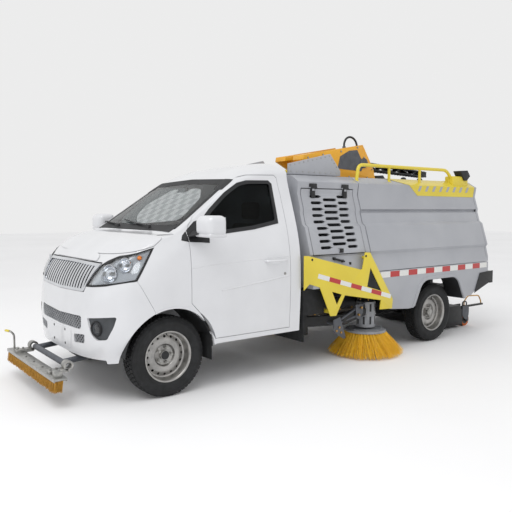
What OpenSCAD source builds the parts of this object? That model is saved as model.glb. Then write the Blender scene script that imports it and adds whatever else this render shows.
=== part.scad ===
// Compact street sweeper truck: white cab, grey hopper body, front broom, side brooms, rear nozzle.
// Millimetres. +X runs to the rear, +Y to the vehicle's right, +Z up, origin on the ground
// under the centre of the whole machine.

/* [Layout] */
// Front axle to rear axle
wheelbase = 3130; // [3000:10:3400]
// Front broom's tips to front axle
front_reach = 800; // [760:10:900]
// Rear axle to the end of the nozzle's lifting bar
rear_reach = 1390; // [1350:10:1500]
// Between the centres of the two tyres of an axle
track = 1380; // [1360:5:1400]

/* [Wheels] */
// Tyre outside diameter
tyre_d = 601; // [580:1:610]
// Tyre section width
tyre_w = 175; // [165:1:185]
// Rim flange diameter
rim_d = 390; // [370:1:400]
// Vent holes round each steel wheel
vent_count = 16; // [8:1:20]

/* [Cab] */
// Half width of the cab at its widest
cab_half = 843; // [820:1:850]
// Front axle to the back wall of the cab
cab_rear = 1215; // [1190:5:1240]
// Height of the roof at the back wall
cab_top = 1792; // [1770:1:1820]
// Thickness of the cab's walls and roof
cab_wall = 35; // [25:1:45]
// Thickness of a door below its window
door_thick = 50; // [40:1:60]
// Gap round a door or the hood
panel_gap = 8; // [7:1:10]
// Radius of the front wheel arch
arch_r = 366; // [360:1:380]
// Glass thickness
glass_t = 6; // [4:1:8]

/* [Body] */
// Half width at the lower edge of the body
body_half = 868; // [860:1:885]
// Height of the body's flat roof
body_top = 1700; // [1680:1:1720]
// Gap between cab and machinery bay
bay_gap = 120; // [100:5:140]
// Length of the machinery bay
bay_len = 745; // [700:5:780]
// Gap between bay and hopper
hopper_gap = 12; // [8:1:16]
// Length of the hopper without its tailgate
hopper_len = 1868; // [1800:4:1900]
// Wall thickness of bay and hopper
body_wall = 30; // [20:1:40]
// Height of the lower body's top edge
deck_z = 800; // [790:1:810]
// Tailgate thickness
gate_t = 36; // [30:1:45]

/* [Brooms] */
// Diameter of a side broom at the ground
side_broom_d = 700; // [640:10:720]
// Diameter of a side broom's disc
disc_d = 385; // [340:5:420]
// Side broom axis outboard of the centre line
broom_y = 700; // [680:5:710]
// Side broom axis behind the front axle
broom_x = 2170; // [2140:5:2200]
// Width of the front broom
front_broom_w = 1170; // [1000:10:1300]
// Caster wheel diameter
caster_d = 150; // [130:5:170]

/* [Hidden] */

left = -1;
right = 1;
big = 4000;
overall_l = front_reach + wheelbase + rear_reach;
front_x = front_reach - overall_l / 2;
rear_x = front_x + wheelbase;
axle_z = tyre_d / 2;
wheel_y = track / 2;

cab_back = front_x + cab_rear;
bay_front = cab_back + bay_gap;
bay_back = bay_front + bay_len;
hopper_front = bay_back + hopper_gap;
hopper_back = hopper_front + hopper_len;

// ---------- shared helpers ----------

// A flat outline in X and Z, pushed through along Y from y0 to y1.
module through_y(y0, y1) {
    translate([0, y1, 0]) rotate([90, 0, 0]) linear_extrude(y1 - y0) children();
}

// A flat outline in Y and Z, pushed along X from x0 to x1.
module through_x(x0, x1) {
    translate([x0, 0, 0]) rotate([90, 0, 90]) linear_extrude(x1 - x0) children();
}

// The same solid on the left (-1) or right (+1) side.
module on_side(s) {
    if (s > 0) children();
    else mirror([0, 1, 0]) children();
}

// A solid on both sides.
module both_sides() {
    on_side(right) children();
    on_side(left) children();
}

// A rod between two points.
module rod(a, b, d) {
    v = b - a;
    h = norm(v);
    translate(a) rotate([0, acos(v[2] / h), atan2(v[1], v[0])]) cylinder(h = h, d = d, $fn = 24);
}

function unit(v) = v / norm(v);

// The points of a path with its corners rounded, each curve starting up to reach before its corner.
function rounded_path(p, reach, steps = 4) = concat([p[0]],
    [for (i = [1:1:len(p) - 2]) let (
            back = p[i - 1] - p[i],
            ahead = p[i + 1] - p[i],
            cut = min(reach, norm(back) * 0.45, norm(ahead) * 0.45),
            from = p[i] + unit(back) * cut,
            to = p[i] + unit(ahead) * cut
        ) for (k = [0:steps]) let (t = k / steps) from * pow(1 - t, 2) + p[i] * 2 * t * (1 - t) + to * pow(t, 2)],
    [p[len(p) - 1]]);

// A tube along a path; side is a direction that the path never runs along.
module swept_tube(path, d, side = [0, 1, 0], sides = 12) {
    n = len(path);
    points = [for (i = [0:n - 1]) let (
            back = path[max(i, 1)] - path[max(i, 1) - 1],
            ahead = path[min(i, n - 2) + 1] - path[min(i, n - 2)],
            t = unit(unit(back) + unit(ahead)),
            u = unit(cross(side, t)),
            w = cross(t, u)
        ) for (k = [0:sides - 1]) path[i] + d / 2 * (cos(360 * k / sides) * u + sin(360 * k / sides) * w)];
    polyhedron(points = points, faces = concat(
        [[for (k = [0:sides - 1]) k], [for (k = [sides - 1:-1:0]) (n - 1) * sides + k]],
        [for (i = [0:n - 2]) for (k = [0:sides - 1]) let (a = i * sides + k, b = i * sides + (k + 1) % sides)
            [a, a + sides, b + sides, b]]));
}

// A box between two corners.
module block(a, b) {
    translate(a) cube(b - a);
}

// ---------- cab form ----------

// Sections of the cab from nose to back wall, measured from the front axle.
// Columns: x, sill height, sill half width, mid height, mid half width, belt height,
// belt half width, shoulder height, shoulder half width, top height at the centre line.
cab_sections = [
    [-535, 305, 250, 430, 330, 560, 320, 640, 280, 690],
    [-518, 290, 400, 440, 470, 620, 460, 710, 420, 800],
    [-485, 282, 520, 450, 600, 680, 590, 790, 545, 885],
    [-435, 283, 620, 460, 700, 740, 690, 850, 640, 965],
    [-365, 295, 705, 480, 772, 800, 762, 920, 705, 1040],
    [-285, 315, 765, 520, 812, 850, 804, 985, 745, 1100],
    [-190, 335, 800, 560, 830, 900, 822, 1060, 762, 1155],
    [-60, 348, 816, 640, 838, 980, 825, 1145, 765, 1190],
    [60, 352, 820, 740, 841, 1060, 822, 1180, 752, 1212],
    [230, 355, 823, 820, 843, 1120, 815, 1278, 728, 1328],
    [400, 357, 824, 820, 843, 1150, 810, 1392, 702, 1446],
    [560, 358, 825, 820, 843, 1150, 808, 1492, 682, 1560],
    [700, 358, 825, 820, 843, 1150, 808, 1562, 670, 1657],
    [860, 358, 825, 820, 843, 1150, 808, 1598, 665, 1728],
    [1030, 358, 825, 820, 843, 1150, 808, 1612, 662, 1770],
    [1215, 358, 825, 820, 843, 1150, 808, 1615, 660, 1792]
];
crown_steps = 6;
crown_power = 2 / 3.2;
width_scale = cab_half / 843;
length_scale = cab_rear / 1215;
roof_lift = cab_top - 1792;

// Section outline in Y and Z, drawn in by inset on every side.
function half_outline(s, inset) = let (
        w = width_scale,
        rise = roof_lift * max(0, s[0]) / 1215
    ) concat(
        [[s[2] * w - inset, s[1] + inset], [s[4] * w - inset, s[3]], [s[6] * w - inset, s[5]]],
        [for (i = [0:crown_steps]) let (a = 90 * i / crown_steps)
            [(s[8] * w - inset) * pow(cos(a), crown_power),
             s[7] + rise + (s[9] - s[7] - inset) * pow(sin(a), crown_power)]]);

function mirror_points(p) = concat(p, [for (i = [len(p) - 1:-1:0]) if (p[i][0] > 0.01) [-p[i][0], p[i][1]]]);

function section_ring(s, inset, shift) = let (
        x = front_x + s[0] * (s[0] > 0 ? length_scale : 1) + shift
    ) [for (p = mirror_points(half_outline(s, inset))) [x, p[0], p[1]]];

// The stretch between two sections.
module cab_stretch(a, b, inset, shift) {
    ring_a = section_ring(a, inset, shift);
    n = len(ring_a);
    hull() polyhedron(
        points = concat(ring_a, section_ring(b, inset, shift)),
        faces = concat(
            [[for (i = [n - 1:-1:0]) i], [for (i = [0:n - 1]) n + i]],
            [for (i = [0:n - 1]) [i, (i + 1) % n, n + (i + 1) % n, n + i]]));
}

// The whole cab as one solid, drawn in by inset and moved back by shift.
module cab_form(inset = 0, shift = 0) {
    for (i = [0:len(cab_sections) - 2])
        cab_stretch(cab_sections[i], cab_sections[i + 1], inset, shift);
}

// ---------- cab cut lines, side view in X and Z from the front axle ----------

door_hinge_x = front_x + 158;
door_back_x = front_x + cab_rear - 112;
door_edge = [[158, 1180], [158, 690], [232, 612], [372, 400], [1103, 400], [1103, 1500],
    [1096, 1640], [1070, 1662], [800, 1655], [655, 1618], [520, 1545], [330, 1392], [196, 1262]];
window_edge = [[272, 1186], [760, 1232], [1010, 1275], [1022, 1585], [1000, 1605], [780, 1600],
    [690, 1578], [560, 1500], [400, 1372], [290, 1268]];
hood_edge = [[-480, 1003], [-395, 1003], [-345, 1054], [-110, 1118], [-15, 1188], [62, 1196],
    [66, 1400], [-480, 1400]];
lamp_side = [[-700, 1008], [-395, 994], [-340, 1040], [-112, 1106], [-262, 882], [-700, 782]];
lamp_front = [[452, 795], [470, 800], [860, 892], [860, 1130], [800, 1130], [560, 1010], [530, 985]];
grille_front = [[0, 776], [445, 790], [524, 984], [515, 996], [0, 996]];
bumper_side = [[-700, 200], [-700, 800], [-560, 830], [-275, 900], [-142, 655], [-142, 200]];
// Inner limit of the door in Y and Z: it stays outboard of the windscreen's pillar.
door_front = [[603, 380], [603, 1195], [700, 1232], [695, 1290], [623, 1590], [600, 1640], [600, 1720],
    [1000, 1720], [1000, 380]];
screen_front = [[0, 1212], [560, 1216], [676, 1232], [672, 1290], [600, 1590], [560, 1622], [0, 1640]];

function from_axle(p) = [for (q = p) [q[0] + front_x, q[1]]];

module side_prism(points, grow, y0, y1) {
    through_y(y0, y1) offset(delta = grow) polygon(from_axle(points));
}

module front_prism(points, grow, x0, x1) {
    through_x(front_x + x0, front_x + x1) offset(delta = grow) scale([width_scale, 1])
        polygon(concat(points, [for (i = [len(points) - 1:-1:0]) if (points[i][0] > 0) [-points[i][0], points[i][1]]]));
}

module one_front_prism(points, grow, x0, x1) {
    through_x(front_x + x0, front_x + x1) offset(delta = grow) scale([width_scale, 1]) polygon(points);
}

module lamp_zone(grow) {
    intersection() {
        one_front_prism(lamp_front, grow, -700, 0);
        side_prism(lamp_side, grow, 0, 1000);
    }
}

module grille_zone(grow) {
    front_prism(grille_front, grow, -700, -330);
}

module door_zone(grow) {
    intersection() {
        one_front_prism(door_front, grow, 0, 1300);
        side_prism(door_edge, grow, 0, 1500);
    }
}

module screen_zone(grow) {
    front_prism(screen_front, grow, 20, 760);
}

module arch_hole(r, inner_half) {
    translate([front_x, 0, axle_z]) both_sides()
        translate([0, inner_half, 0]) rotate([-90, 0, 0]) cylinder(h = 1000, r = r, $fn = 96);
}

well_half = 430;
floor_z = 518;
sill_half = 640 * width_scale;

module cab_shell() {
    color("white") {
        difference() {
            cab_form();
            difference() {
                cab_form(cab_wall);
                block([-big, -big, -big], [front_x + 150, big, big]);
                block([cab_back - cab_wall, -big, -big], [big, big, big]);
                block([-big, -big, -big], [big, big, floor_z + cab_wall]);
                both_sides() block([front_x, well_half - 30, 0], [front_x + 400, 1000, 700]);
            }
            difference() {
                cab_form(30, 30);
                block([front_x + 118, -big, -big], [big, big, big]);
            }
            block([front_x - 700, -520 * width_scale, 0], [front_x + 118, 520 * width_scale, 560]);
            block([front_x - 700, -big, 0], [front_x - 200, big, 640]);
            arch_hole(arch_r, well_half);
            both_sides() door_zone(panel_gap);
            side_prism(hood_edge, panel_gap, -big, big);
            side_prism(bumper_side, 3, -big, big);
            grille_zone(3);
            both_sides() lamp_zone(3);
            screen_zone(-16);
            intersection() {
                screen_zone(2);
                difference() {
                    cab_form(-40);
                    cab_form(4 + glass_t);
                }
            }
            block([front_x + 100, -sill_half, 0], [cab_back + 10, sill_half, floor_z]);
        }
        for (x = [cab_back - 900, cab_back - 160])
            both_sides() block([x, rail_half, rail_top], [x + 80, rail_out, floor_z + 2]);
    }
}

module hood() {
    color("white") intersection() {
        difference() {
            cab_form();
            cab_form(24, 6);
        }
        side_prism(hood_edge, 0, -big, big);
    }
}

module front_bumper() {
    color("white") difference() {
        intersection() {
            difference() {
                cab_form();
                cab_form(22, 22);
            }
            side_prism(bumper_side, 0, -big, big);
        }
        grille_zone(5);
        both_sides() lamp_zone(5);
        arch_hole(arch_r, 400);
        front_prism([[0, 492], [238, 492], [268, 590], [0, 590]], 0, -700, -300);
        both_sides() {
            one_front_prism([[128, 376], [288, 384], [284, 442], [128, 436]], 0, -700, -300);
            one_front_prism([[486, 598], [770, 636], [742, 500], [700, 484], [560, 478], [500, 520]],
                0, -700, -250);
        }
        block([-big, -sill_half, 0], [big, sill_half, 312]);
        block([frame_front, -sill_half, 0], [big, sill_half, 372]);
    }
    color("dimgray") intersection() {
        difference() {
            cab_form(14, 14);
            cab_form(30, 30);
        }
        union() {
            front_prism([[0, 486], [242, 486], [274, 596], [0, 596]], 0, -700, -300);
            both_sides() {
                one_front_prism([[122, 370], [294, 378], [290, 448], [122, 442]], 0, -700, -300);
                one_front_prism([[480, 602], [778, 642], [748, 498], [700, 478], [556, 472], [494, 518]],
                    0, -700, -250);
            }
        }
    }
}

slat_pitch = 44;

module grille() {
    color("silver") {
        intersection() {
            difference() {
                cab_form();
                cab_form(20, 26);
            }
            difference() {
                grille_zone(0);
                grille_zone(-22);
            }
        }
        intersection() {
            difference() {
                cab_form(4, 6);
                cab_form(20, 26);
            }
            grille_zone(-20);
            for (i = [-10:10]) block([-big, i * slat_pitch - 13, 700], [big, i * slat_pitch + 13, 1050]);
        }
        intersection() {
            difference() {
                cab_form(16, 22);
                cab_form(26, 34);
            }
            grille_zone(-1);
        }
    }
}

module headlamps() {
    color("lightgray") both_sides() intersection() {
        difference() {
            cab_form();
            cab_form(75, 75);
        }
        lamp_zone(0);
    }
}

module windscreen() {
    color("darkslategray") intersection() {
        difference() {
            cab_form(4);
            cab_form(4 + glass_t);
        }
        screen_zone(0);
    }
}

module door(s) {
    color("white") on_side(s) difference() {
        intersection() {
            cab_form();
            door_zone(0);
        }
        cab_form(door_thick);
        difference() {
            cab_form(28);
            block([-big, -big, -big], [big, big, 1165]);
        }
        side_prism(window_edge, 0, 0, big);
        block([-big, -big, -big], [big, cab_half - door_thick - 30, 480]);
        translate([front_x, 0, axle_z]) rotate([-90, 0, 0]) cylinder(h = big, r = arch_r + 22, $fn = 96);
    }
}

module door_glass(s) {
    color("darkslategray") on_side(s) intersection() {
        difference() {
            cab_form(10);
            cab_form(10 + glass_t);
        }
        side_prism(window_edge, -0.2, 450, big);
    }
}

mirror_x = front_x + 215;
mirror_z = 1255;

module mirror_unit(s) {
    on_side(s) {
        color("black") difference() {
            hull() {
                block([mirror_x - 34, cab_half - 82, 1170], [mirror_x + 44, cab_half - 40, 1200]);
                block([mirror_x - 34, cab_half + 52, 1186], [mirror_x + 20, cab_half + 62, 1214]);
            }
            cab_form();
        }
        color("white") translate([mirror_x, cab_half + 132, mirror_z]) hull() {
            for (y = [-78, 70]) for (z = [-42, 42])
                translate([0, y, z]) scale([0.9, 1, 1]) sphere(r = 36, $fn = 24);
        }
    }
}

module seats() {
    color("dimgray") for (s = [left, right]) on_side(s) {
        x0 = front_x + 500;
        difference() {
            block([x0, 120, floor_z + cab_wall], [x0 + 470, 600, 780]);
            block([x0 - 10, 190, 768], [x0 + 350, 530, 790]);
        }
        translate([x0 + 372, 120, 770]) rotate([0, 12, 0]) cube([105, 480, 520]);
        translate([x0 + 484, 250, 1270]) rotate([0, 8, 0]) cube([80, 220, 170]);
    }
}

dash_half = 720 * width_scale;

module dashboard() {
    color("dimgray") {
        through_y(-dash_half, dash_half) polygon(from_axle([[150, 1010], [150, 1120], [200, 1165],
            [330, 1165], [400, 1110], [420, 1020], [360, 930], [230, 880], [150, 880]]));
        translate(wheel_centre) rotate([0, wheel_tilt, 0]) translate([0, 0, -180])
            cylinder(h = 119, r = 30, $fn = 32);
    }
}

wheel_centre = [front_x + 490, -360, 1070];
wheel_tilt = 50;

module steering_wheel() {
    color("black") translate(wheel_centre) rotate([0, wheel_tilt, 0]) {
        rotate_extrude($fn = 48) translate([172, 0]) circle(r = 14, $fn = 16);
        cylinder(h = 26, r = 52, center = true, $fn = 32);
        for (a = [90, 210, 330]) rotate([0, 0, a]) translate([40, -12, -7]) cube([125, 24, 14]);
        translate([0, 0, -60]) cylinder(h = 60, r = 24, $fn = 24);
    }
}

// ---------- wheels and axles ----------

module tyre(x, s) {
    side_r = tyre_d / 2 - 14;
    color("black") translate([x, s * wheel_y, axle_z]) rotate([90, 0, 0])
        rotate_extrude($fn = 96) polygon([
            [rim_d / 2 - 12, -tyre_w / 2 + 24], [rim_d / 2 + 12, -tyre_w / 2 + 8],
            [rim_d / 2 + 50, -tyre_w / 2], [side_r - 22, -tyre_w / 2 + 6],
            [side_r + 2, -tyre_w / 2 + 18], [tyre_d / 2 - 2, -tyre_w / 2 + 34], [tyre_d / 2, 0],
            [tyre_d / 2 - 2, tyre_w / 2 - 34], [side_r + 2, tyre_w / 2 - 18],
            [side_r - 22, tyre_w / 2 - 6], [rim_d / 2 + 50, tyre_w / 2],
            [rim_d / 2 + 12, tyre_w / 2 - 8], [rim_d / 2 - 12, tyre_w / 2 - 24]]);
}

hub_bore = 60;

// Steel wheel, its outer face towards +Y before it is turned to its side.
module rim(x, s) {
    r = rim_d / 2 - 13;
    w = tyre_w / 2 - 24;
    color("silver") translate([x, s * wheel_y, axle_z]) rotate([-90 * s, 0, 0]) difference() {
        union() {
            rotate_extrude($fn = 96) polygon([
                [r - 10, -w], [r, -w], [r, w], [r + 8, w + 6], [r + 8, w + 12], [r - 2, w + 12],
                [r - 10, w], [r - 16, 10], [r - 26, 4], [r - 60, 18], [r - 96, 16], [r - 108, -2],
                [hub_bore / 2, -2], [hub_bore / 2, -12], [r - 104, -12], [r - 92, 4], [r - 60, 6],
                [r - 30, -8], [r - 14, -8]]);
            translate([0, 0, -12]) cylinder(h = 34, r = 36, $fn = 48);
            for (i = [0:4]) rotate([0, 0, 72 * i]) translate([57, 0, -4])
                cylinder(h = 20, d = 20, $fn = 6);
        }
        translate([0, 0, -40]) cylinder(h = 50, d = hub_bore, $fn = 48);
        for (i = [0:vent_count - 1]) rotate([0, 0, 360 / vent_count * i])
            translate([r - 40, 0, -30]) cylinder(h = 80, d = 19, $fn = 24);
    }
}

king_y = wheel_y - 75;

module knuckle(s) {
    color("gray") on_side(s) translate([front_x, 0, axle_z]) {
        difference() {
            union() {
                translate([0, king_y, -95]) cylinder(h = 210, r = 26, $fn = 32);
                translate([0, king_y, 0]) rotate([-90, 0, 0]) cylinder(h = 50, r = 58, $fn = 48);
            }
            translate([0, king_y, -200]) cylinder(h = 400, r = 10, $fn = 32);
        }
        translate([0, king_y + 49, 0]) rotate([-90, 0, 0]) cylinder(h = 8, r = 125, $fn = 64);
        translate([0, king_y + 50, 0]) rotate([-90, 0, 0]) cylinder(h = 34, r = hub_bore / 2 - 0.05, $fn = 48);
        block([20, king_y - 30, -60], [130, king_y - 2, -36]);
    }
}

module front_suspension() {
    color("dimgray") {
        translate([front_x, 0, 0]) {
            block([-60, -330, 235], [60, 330, 320]);
            both_sides() {
                translate([0, king_y, axle_z - 130]) cylinder(h = 28, r = 26, $fn = 32);
                translate([0, king_y, axle_z - 110]) cylinder(h = 245, r = 9.95, $fn = 32);
                hull() {
                    translate([0, king_y, axle_z - 128]) cylinder(h = 20, r = 20, $fn = 24);
                    block([-80, 300, axle_z - 60], [80, 320, axle_z - 20]);
                }
                hull() {
                    translate([0, king_y, axle_z + 120]) cylinder(h = 16, r = 24, $fn = 24);
                    block([-30, rail_out, axle_z + 102], [30, rail_out + 12, axle_z + 165]);
                }
                translate([0, rail_half - 36, 318]) cylinder(h = 302, r = 34, $fn = 32);
                block([-40, rail_half - 40, rail_z + 20], [40, rail_half, rail_top - 20]);
            }
        }
        block([front_x + 106, 125 - king_y, axle_z - 50], [front_x + 132, king_y - 125, axle_z - 20]);
        block([front_x + 60, -60, axle_z - 50], [front_x + 160, 60, axle_z - 20]);
    }
}

rail_half = 330;
rail_w = 60;
rail_z = 400;
rail_h = 110;
rail_top = rail_z + rail_h;
rail_out = rail_half + rail_w;
skirt_t = 26;
deck_t = 20;
arm_pivot = [front_x + 1540, 520, 330];
nozzle_pivot = [front_x + 3690, 330];
bay_post_x = [bay_front + 60, bay_back - 120];
deck_post_x = [hopper_front + 260, rear_x - 610, rear_x + 430];
arm_root_z = 285;
frame_front = front_x - 420;
frame_back = hopper_back - 40;

module chassis_frame() {
    color("dimgray") {
        both_sides() block([frame_front + 60, rail_half, rail_z], [frame_back, rail_out, rail_z + rail_h]);
        for (x = [frame_front + 60, front_x + 620, front_x + 1300, front_x + 2400, rear_x + 500, frame_back - 60])
            block([x, -rail_half - 2, rail_z + 10], [x + 60, rail_half + 2, rail_z + rail_h - 10]);
        both_sides() {
            block([frame_front + 60, rail_half - 60, arm_root_z - 30], [frame_front + 120, rail_half + 30, rail_z + 2]);
            block([arm_pivot[0] - 40, rail_out - 2, 226], [arm_pivot[0] + 40, rail_out + 12, 446]);
            for (z = [226, 428]) hull() {
                block([arm_pivot[0] - 40, rail_out - 2, z], [arm_pivot[0] + 40, rail_out + 12, z + 18]);
                translate([arm_pivot[0], arm_pivot[1], z]) cylinder(h = 18, r = 38, $fn = 32);
            }
            translate([arm_pivot[0], arm_pivot[1], 230]) cylinder(h = 210, r = 17.95, $fn = 40);
            block([nozzle_pivot[0] - 24, rail_half, nozzle_pivot[1] - 24], [nozzle_pivot[0] + 24, rail_half + 16, rail_z + 2]);
        }
        translate([nozzle_pivot[0], -rail_half - 8, nozzle_pivot[1]]) rotate([-90, 0, 0])
            cylinder(h = 2 * rail_half + 16, r = 11.95, $fn = 32);
    }
}

post_w = 60;

// Posts that carry the bay and the deck, and outriggers that carry the side skirts.
module body_mounts() {
    color("dimgray") both_sides() {
        for (x = bay_post_x) block([x, rail_half, rail_top], [x + post_w, rail_out, bay_floor_z]);
        for (x = deck_post_x) {
            block([x, rail_half, rail_top], [x + post_w, rail_out, deck_z - deck_t]);
            block([x, rail_out, rail_z + 40], [x + post_w, body_half - skirt_t, rail_top]);
        }
    }
}

module rear_axle() {
    color("dimgray") translate([rear_x, 0, axle_z]) {
        both_sides() translate([0, 60, 0]) rotate([-90, 0, 0]) cylinder(h = wheel_y - 60 - 20, r = 38, $fn = 40);
        both_sides() translate([0, wheel_y - 34, 0]) rotate([-90, 0, 0]) cylinder(h = 14, r = 120, $fn = 64);
        both_sides() translate([0, wheel_y - 21, 0]) rotate([-90, 0, 0])
            cylinder(h = 26, r = hub_bore / 2 - 0.05, $fn = 48);
        sphere(r = 118, $fn = 48);
        rotate([0, -90, 0]) cylinder(h = 180, r1 = 90, r2 = 42, $fn = 40);
        rod([-170, 0, 0], [-1180, 0, 60], 56);
        both_sides() {
            for (i = [0:2]) translate([0, rail_half + 30, -40 - 11 * i])
                block([-520 + 120 * i, -30, -6], [520 - 120 * i, 30, 6]);
            for (x = [-520, 490]) block([x, rail_half, -46], [x + 30, rail_out, rail_z - axle_z]);
            block([-50, rail_half - 6, -74], [50, rail_half + 66, 30]);
        }
    }
}

module engine() {
    color("gray") block([front_x + 560, -250, 250], [front_x + 1120, 250, 405]);
}

module exhaust() {
    color("gray") {
        translate([front_x + 1450, -180, 330]) rotate([0, 90, 0]) cylinder(h = 520, r = 75, $fn = 40);
        rod([front_x + 1180, -180, 330], [front_x + 1460, -180, 330], 50);
        rod([front_x + 1960, -180, 330], [rear_x - 260, -200, 330], 50);
        block([front_x + 1680, -190, 395], [front_x + 1710, -160, 470]);
        block([front_x + 1680, -rail_half, 440], [front_x + 1710, rail_half, 470]);
    }
}

// ---------- rear body ----------

// Outer side of the bay and hopper, half width and height, with its pressed ribs.
body_scale = body_half / 868;
rib_shape = [[868, 806], [838, 853], [810, 962], [828, 990], [756, 1222], [720, 1250],
    [690, 1348], [694, 1380], [652, 1515], [668, 1620], [560, body_top - 18]];
rib_side = [for (p = rib_shape) [p[0] * body_scale, p[1]]];

module body_outline(bottom) {
    side = [for (p = rib_side) if (p[1] > bottom + 1) p];
    polygon(mirror_points(concat([[side[0][0], bottom]], side, [[0, body_top]])));
}

// Plain inner outline, clear of the ribs by the wall.
module body_inner(bottom) {
    w = body_wall;
    k = body_scale;
    polygon(mirror_points([[body_half - w - 8, bottom], [810 * k - w, 860], [652 * k - w, 1510],
        [652 * k - w, 1610], [552 * k, body_top - w - 16], [0, body_top - w]]));
}

bay_floor_z = 700;
door_low = 985;
door_top = 1557;
bay_door_x0 = bay_front + 42;
bay_door_x1 = bay_back - 66;

module bay_shell() {
    color("lightslategray") {
        difference() {
            through_x(bay_front, bay_back) body_outline(bay_floor_z);
            through_x(bay_front + body_wall, bay_back - body_wall) body_inner(bay_floor_z + body_wall);
            both_sides() block([bay_door_x0 - panel_gap, 500, door_low - panel_gap],
                [bay_door_x1 + panel_gap, big, door_top + panel_gap]);
        }
        both_sides() for (x = bay_hinge_x) for (shift = [-40, 15]) {
            barrel(x + shift, x + shift + 25);
            block([x + shift, bay_hinge[0] - 20, bay_hinge[1]], [x + shift + 25, bay_hinge[0], bay_hinge[1] + 28]);
        }
    }
}

// Louvre slots: column start, column end and rows between top and bottom, measured on the door.
slot_h = 26;
slot_cols = [[96, 222, 9, 0], [248, 418, 8, 28], [430, 556, 9, 0]];
slot_top = 1491;
slot_pitch = 56;

module slot_pattern() {
    for (c = slot_cols) for (i = [0:c[2] - 1])
        translate([bay_door_x0, slot_top - c[3] - slot_pitch * i]) {
            translate([c[0] + slot_h / 2, -slot_h / 2]) square([c[1] - c[0] - slot_h, slot_h]);
            translate([c[0] + slot_h / 2, 0]) circle(d = slot_h, $fn = 12);
            translate([c[1] - slot_h / 2, 0]) circle(d = slot_h, $fn = 12);
            if (c[3] == 0) {
                tail = c[0] < 200 ? [c[1] - 4, c[1] + 19] : [c[0] + 4, c[0] - 9];
                polygon([[tail[0], 5], [tail[1], 0], [tail[0], -5]]);
            }
        }
}

bay_door_t = 22;
bay_hinge_x = [bay_door_x0 + 128, bay_door_x1 - 112];
bay_hinge = [674 * body_scale, door_top + 10];
barrel_r = 7;

// One length of hinge barrel, either side of the middle of its hinge.
module barrel(x0, x1) {
    translate([x0, bay_hinge[0], bay_hinge[1]]) rotate([0, 90, 0]) cylinder(h = x1 - x0, r = barrel_r, $fn = 24);
}

module bay_door(s) {
    color("lightslategray") on_side(s) {
        difference() {
            intersection() {
                difference() {
                    through_x(bay_door_x0, bay_door_x1) body_outline(bay_floor_z);
                    through_x(bay_door_x0 - 1, bay_door_x1 + 1) translate([-bay_door_t, 0]) body_side_only();
                }
                block([bay_door_x0, 500, door_low], [bay_door_x1, big, door_top]);
            }
            through_y(400, 1000) slot_pattern();
        }
        for (x = bay_hinge_x) {
            barrel(x - 14, x + 14);
            block([x - 14, bay_hinge[0] - 10, door_top - 16], [x + 14, bay_hinge[0] + 2, bay_hinge[1]]);
            block([x - 14, bay_hinge[0] - 20, door_top - 60], [x + 14, bay_hinge[0] - 2, door_top - 2]);
        }
        block([bay_door_x0 + 300, 812 * body_scale, door_low + 12],
            [bay_door_x0 + 350, 834 * body_scale, door_low + 44]);
    }
}

// The outer outline as one wide solid, for cutting a skin of even thickness.
module body_side_only() {
    polygon(concat([[0, 700], [body_half, 700]], rib_side, [[0, body_top]]));
}

module blower() {
    x = bay_front + 110;
    color("dimgray") {
        block([x, -330, bay_floor_z + body_wall], [x + 420, 300, 1080]);
        translate([x + 200, -330, 1230]) rotate([-90, 0, 0]) cylinder(h = 240, r = 210, $fn = 64);
        block([x + 120, -320, 1070], [x + 280, -100, 1100]);
        translate([x + 360, 150, 1080]) cylinder(h = 260, r = 110, $fn = 48);
    }
}

low_z = 448;
arch_top_z = 672;

// Rear arch opening in X and Z, grown for the lip.
module rear_arch(grow) {
    r = 150;
    translate([rear_x, 0]) hull() {
        for (x = [-225, 165]) translate([x, arch_top_z - r]) circle(r = r + grow, $fn = 48);
        translate([-458 - grow, 380]) square([10, 10]);
        translate([395 + grow, 380]) square([10, 10]);
    }
}

// The skirt's front corner ends this high, over the swing of the side brush arm.
arm_notch_z = 562;

module lower_body() {
    color("lightslategray") {
        both_sides() {
            difference() {
                through_y(body_half - skirt_t, body_half) polygon([[hopper_front, arm_notch_z], [hopper_front, deck_z],
                    [hopper_back, deck_z], [hopper_back, 660], [rear_x + 520, low_z], [rear_x - 530, low_z - 40],
                    [hopper_front + 240, 430], [hopper_front + 215, arm_notch_z]]);
                through_y(0, big) rear_arch(0);
            }
            difference() {
                through_y(body_half - 200, body_half + 8) intersection() {
                    rear_arch(36);
                    translate([rear_x - big / 2, 425]) square([big, big]);
                }
                through_y(0, big) rear_arch(0);
            }
        }
    }
}

module deck() {
    color("lightslategray") {
        block([hopper_front, skirt_t - body_half, deck_z - deck_t], [hopper_back, body_half - skirt_t, deck_z]);
        both_sides() for (y = [lug_y - 21, lug_y + 21]) {
            block([hopper_back - 1, y, tilt_z - 8], [tilt_x, y + 20, tilt_z + 8]);
            translate([tilt_x, y, tilt_z]) rotate([-90, 0, 0]) cylinder(h = 20, r = 8, $fn = 24);
        }
    }
}

bracket_t = 8;
bracket_y = body_half + 2;
// Outline of the yellow side bracket in X and Z from the front axle.
bracket_edge = [[1222, 990], [1268, 988], [1330, 974], [1909, 834], [1926, 842], [1961, 988], [2027, 985],
    [2351, 525], [2342, 437], [2169, 445], [2183, 531], [1706, 618], [1600, 446], [1531, 450],
    [1403, 712], [1284, 748], [1222, 700]];
bracket_windows = [[[1548, 664], [1668, 628], [1609, 540]], [[2033, 846], [1992, 673], [2190, 617]]];

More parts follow.
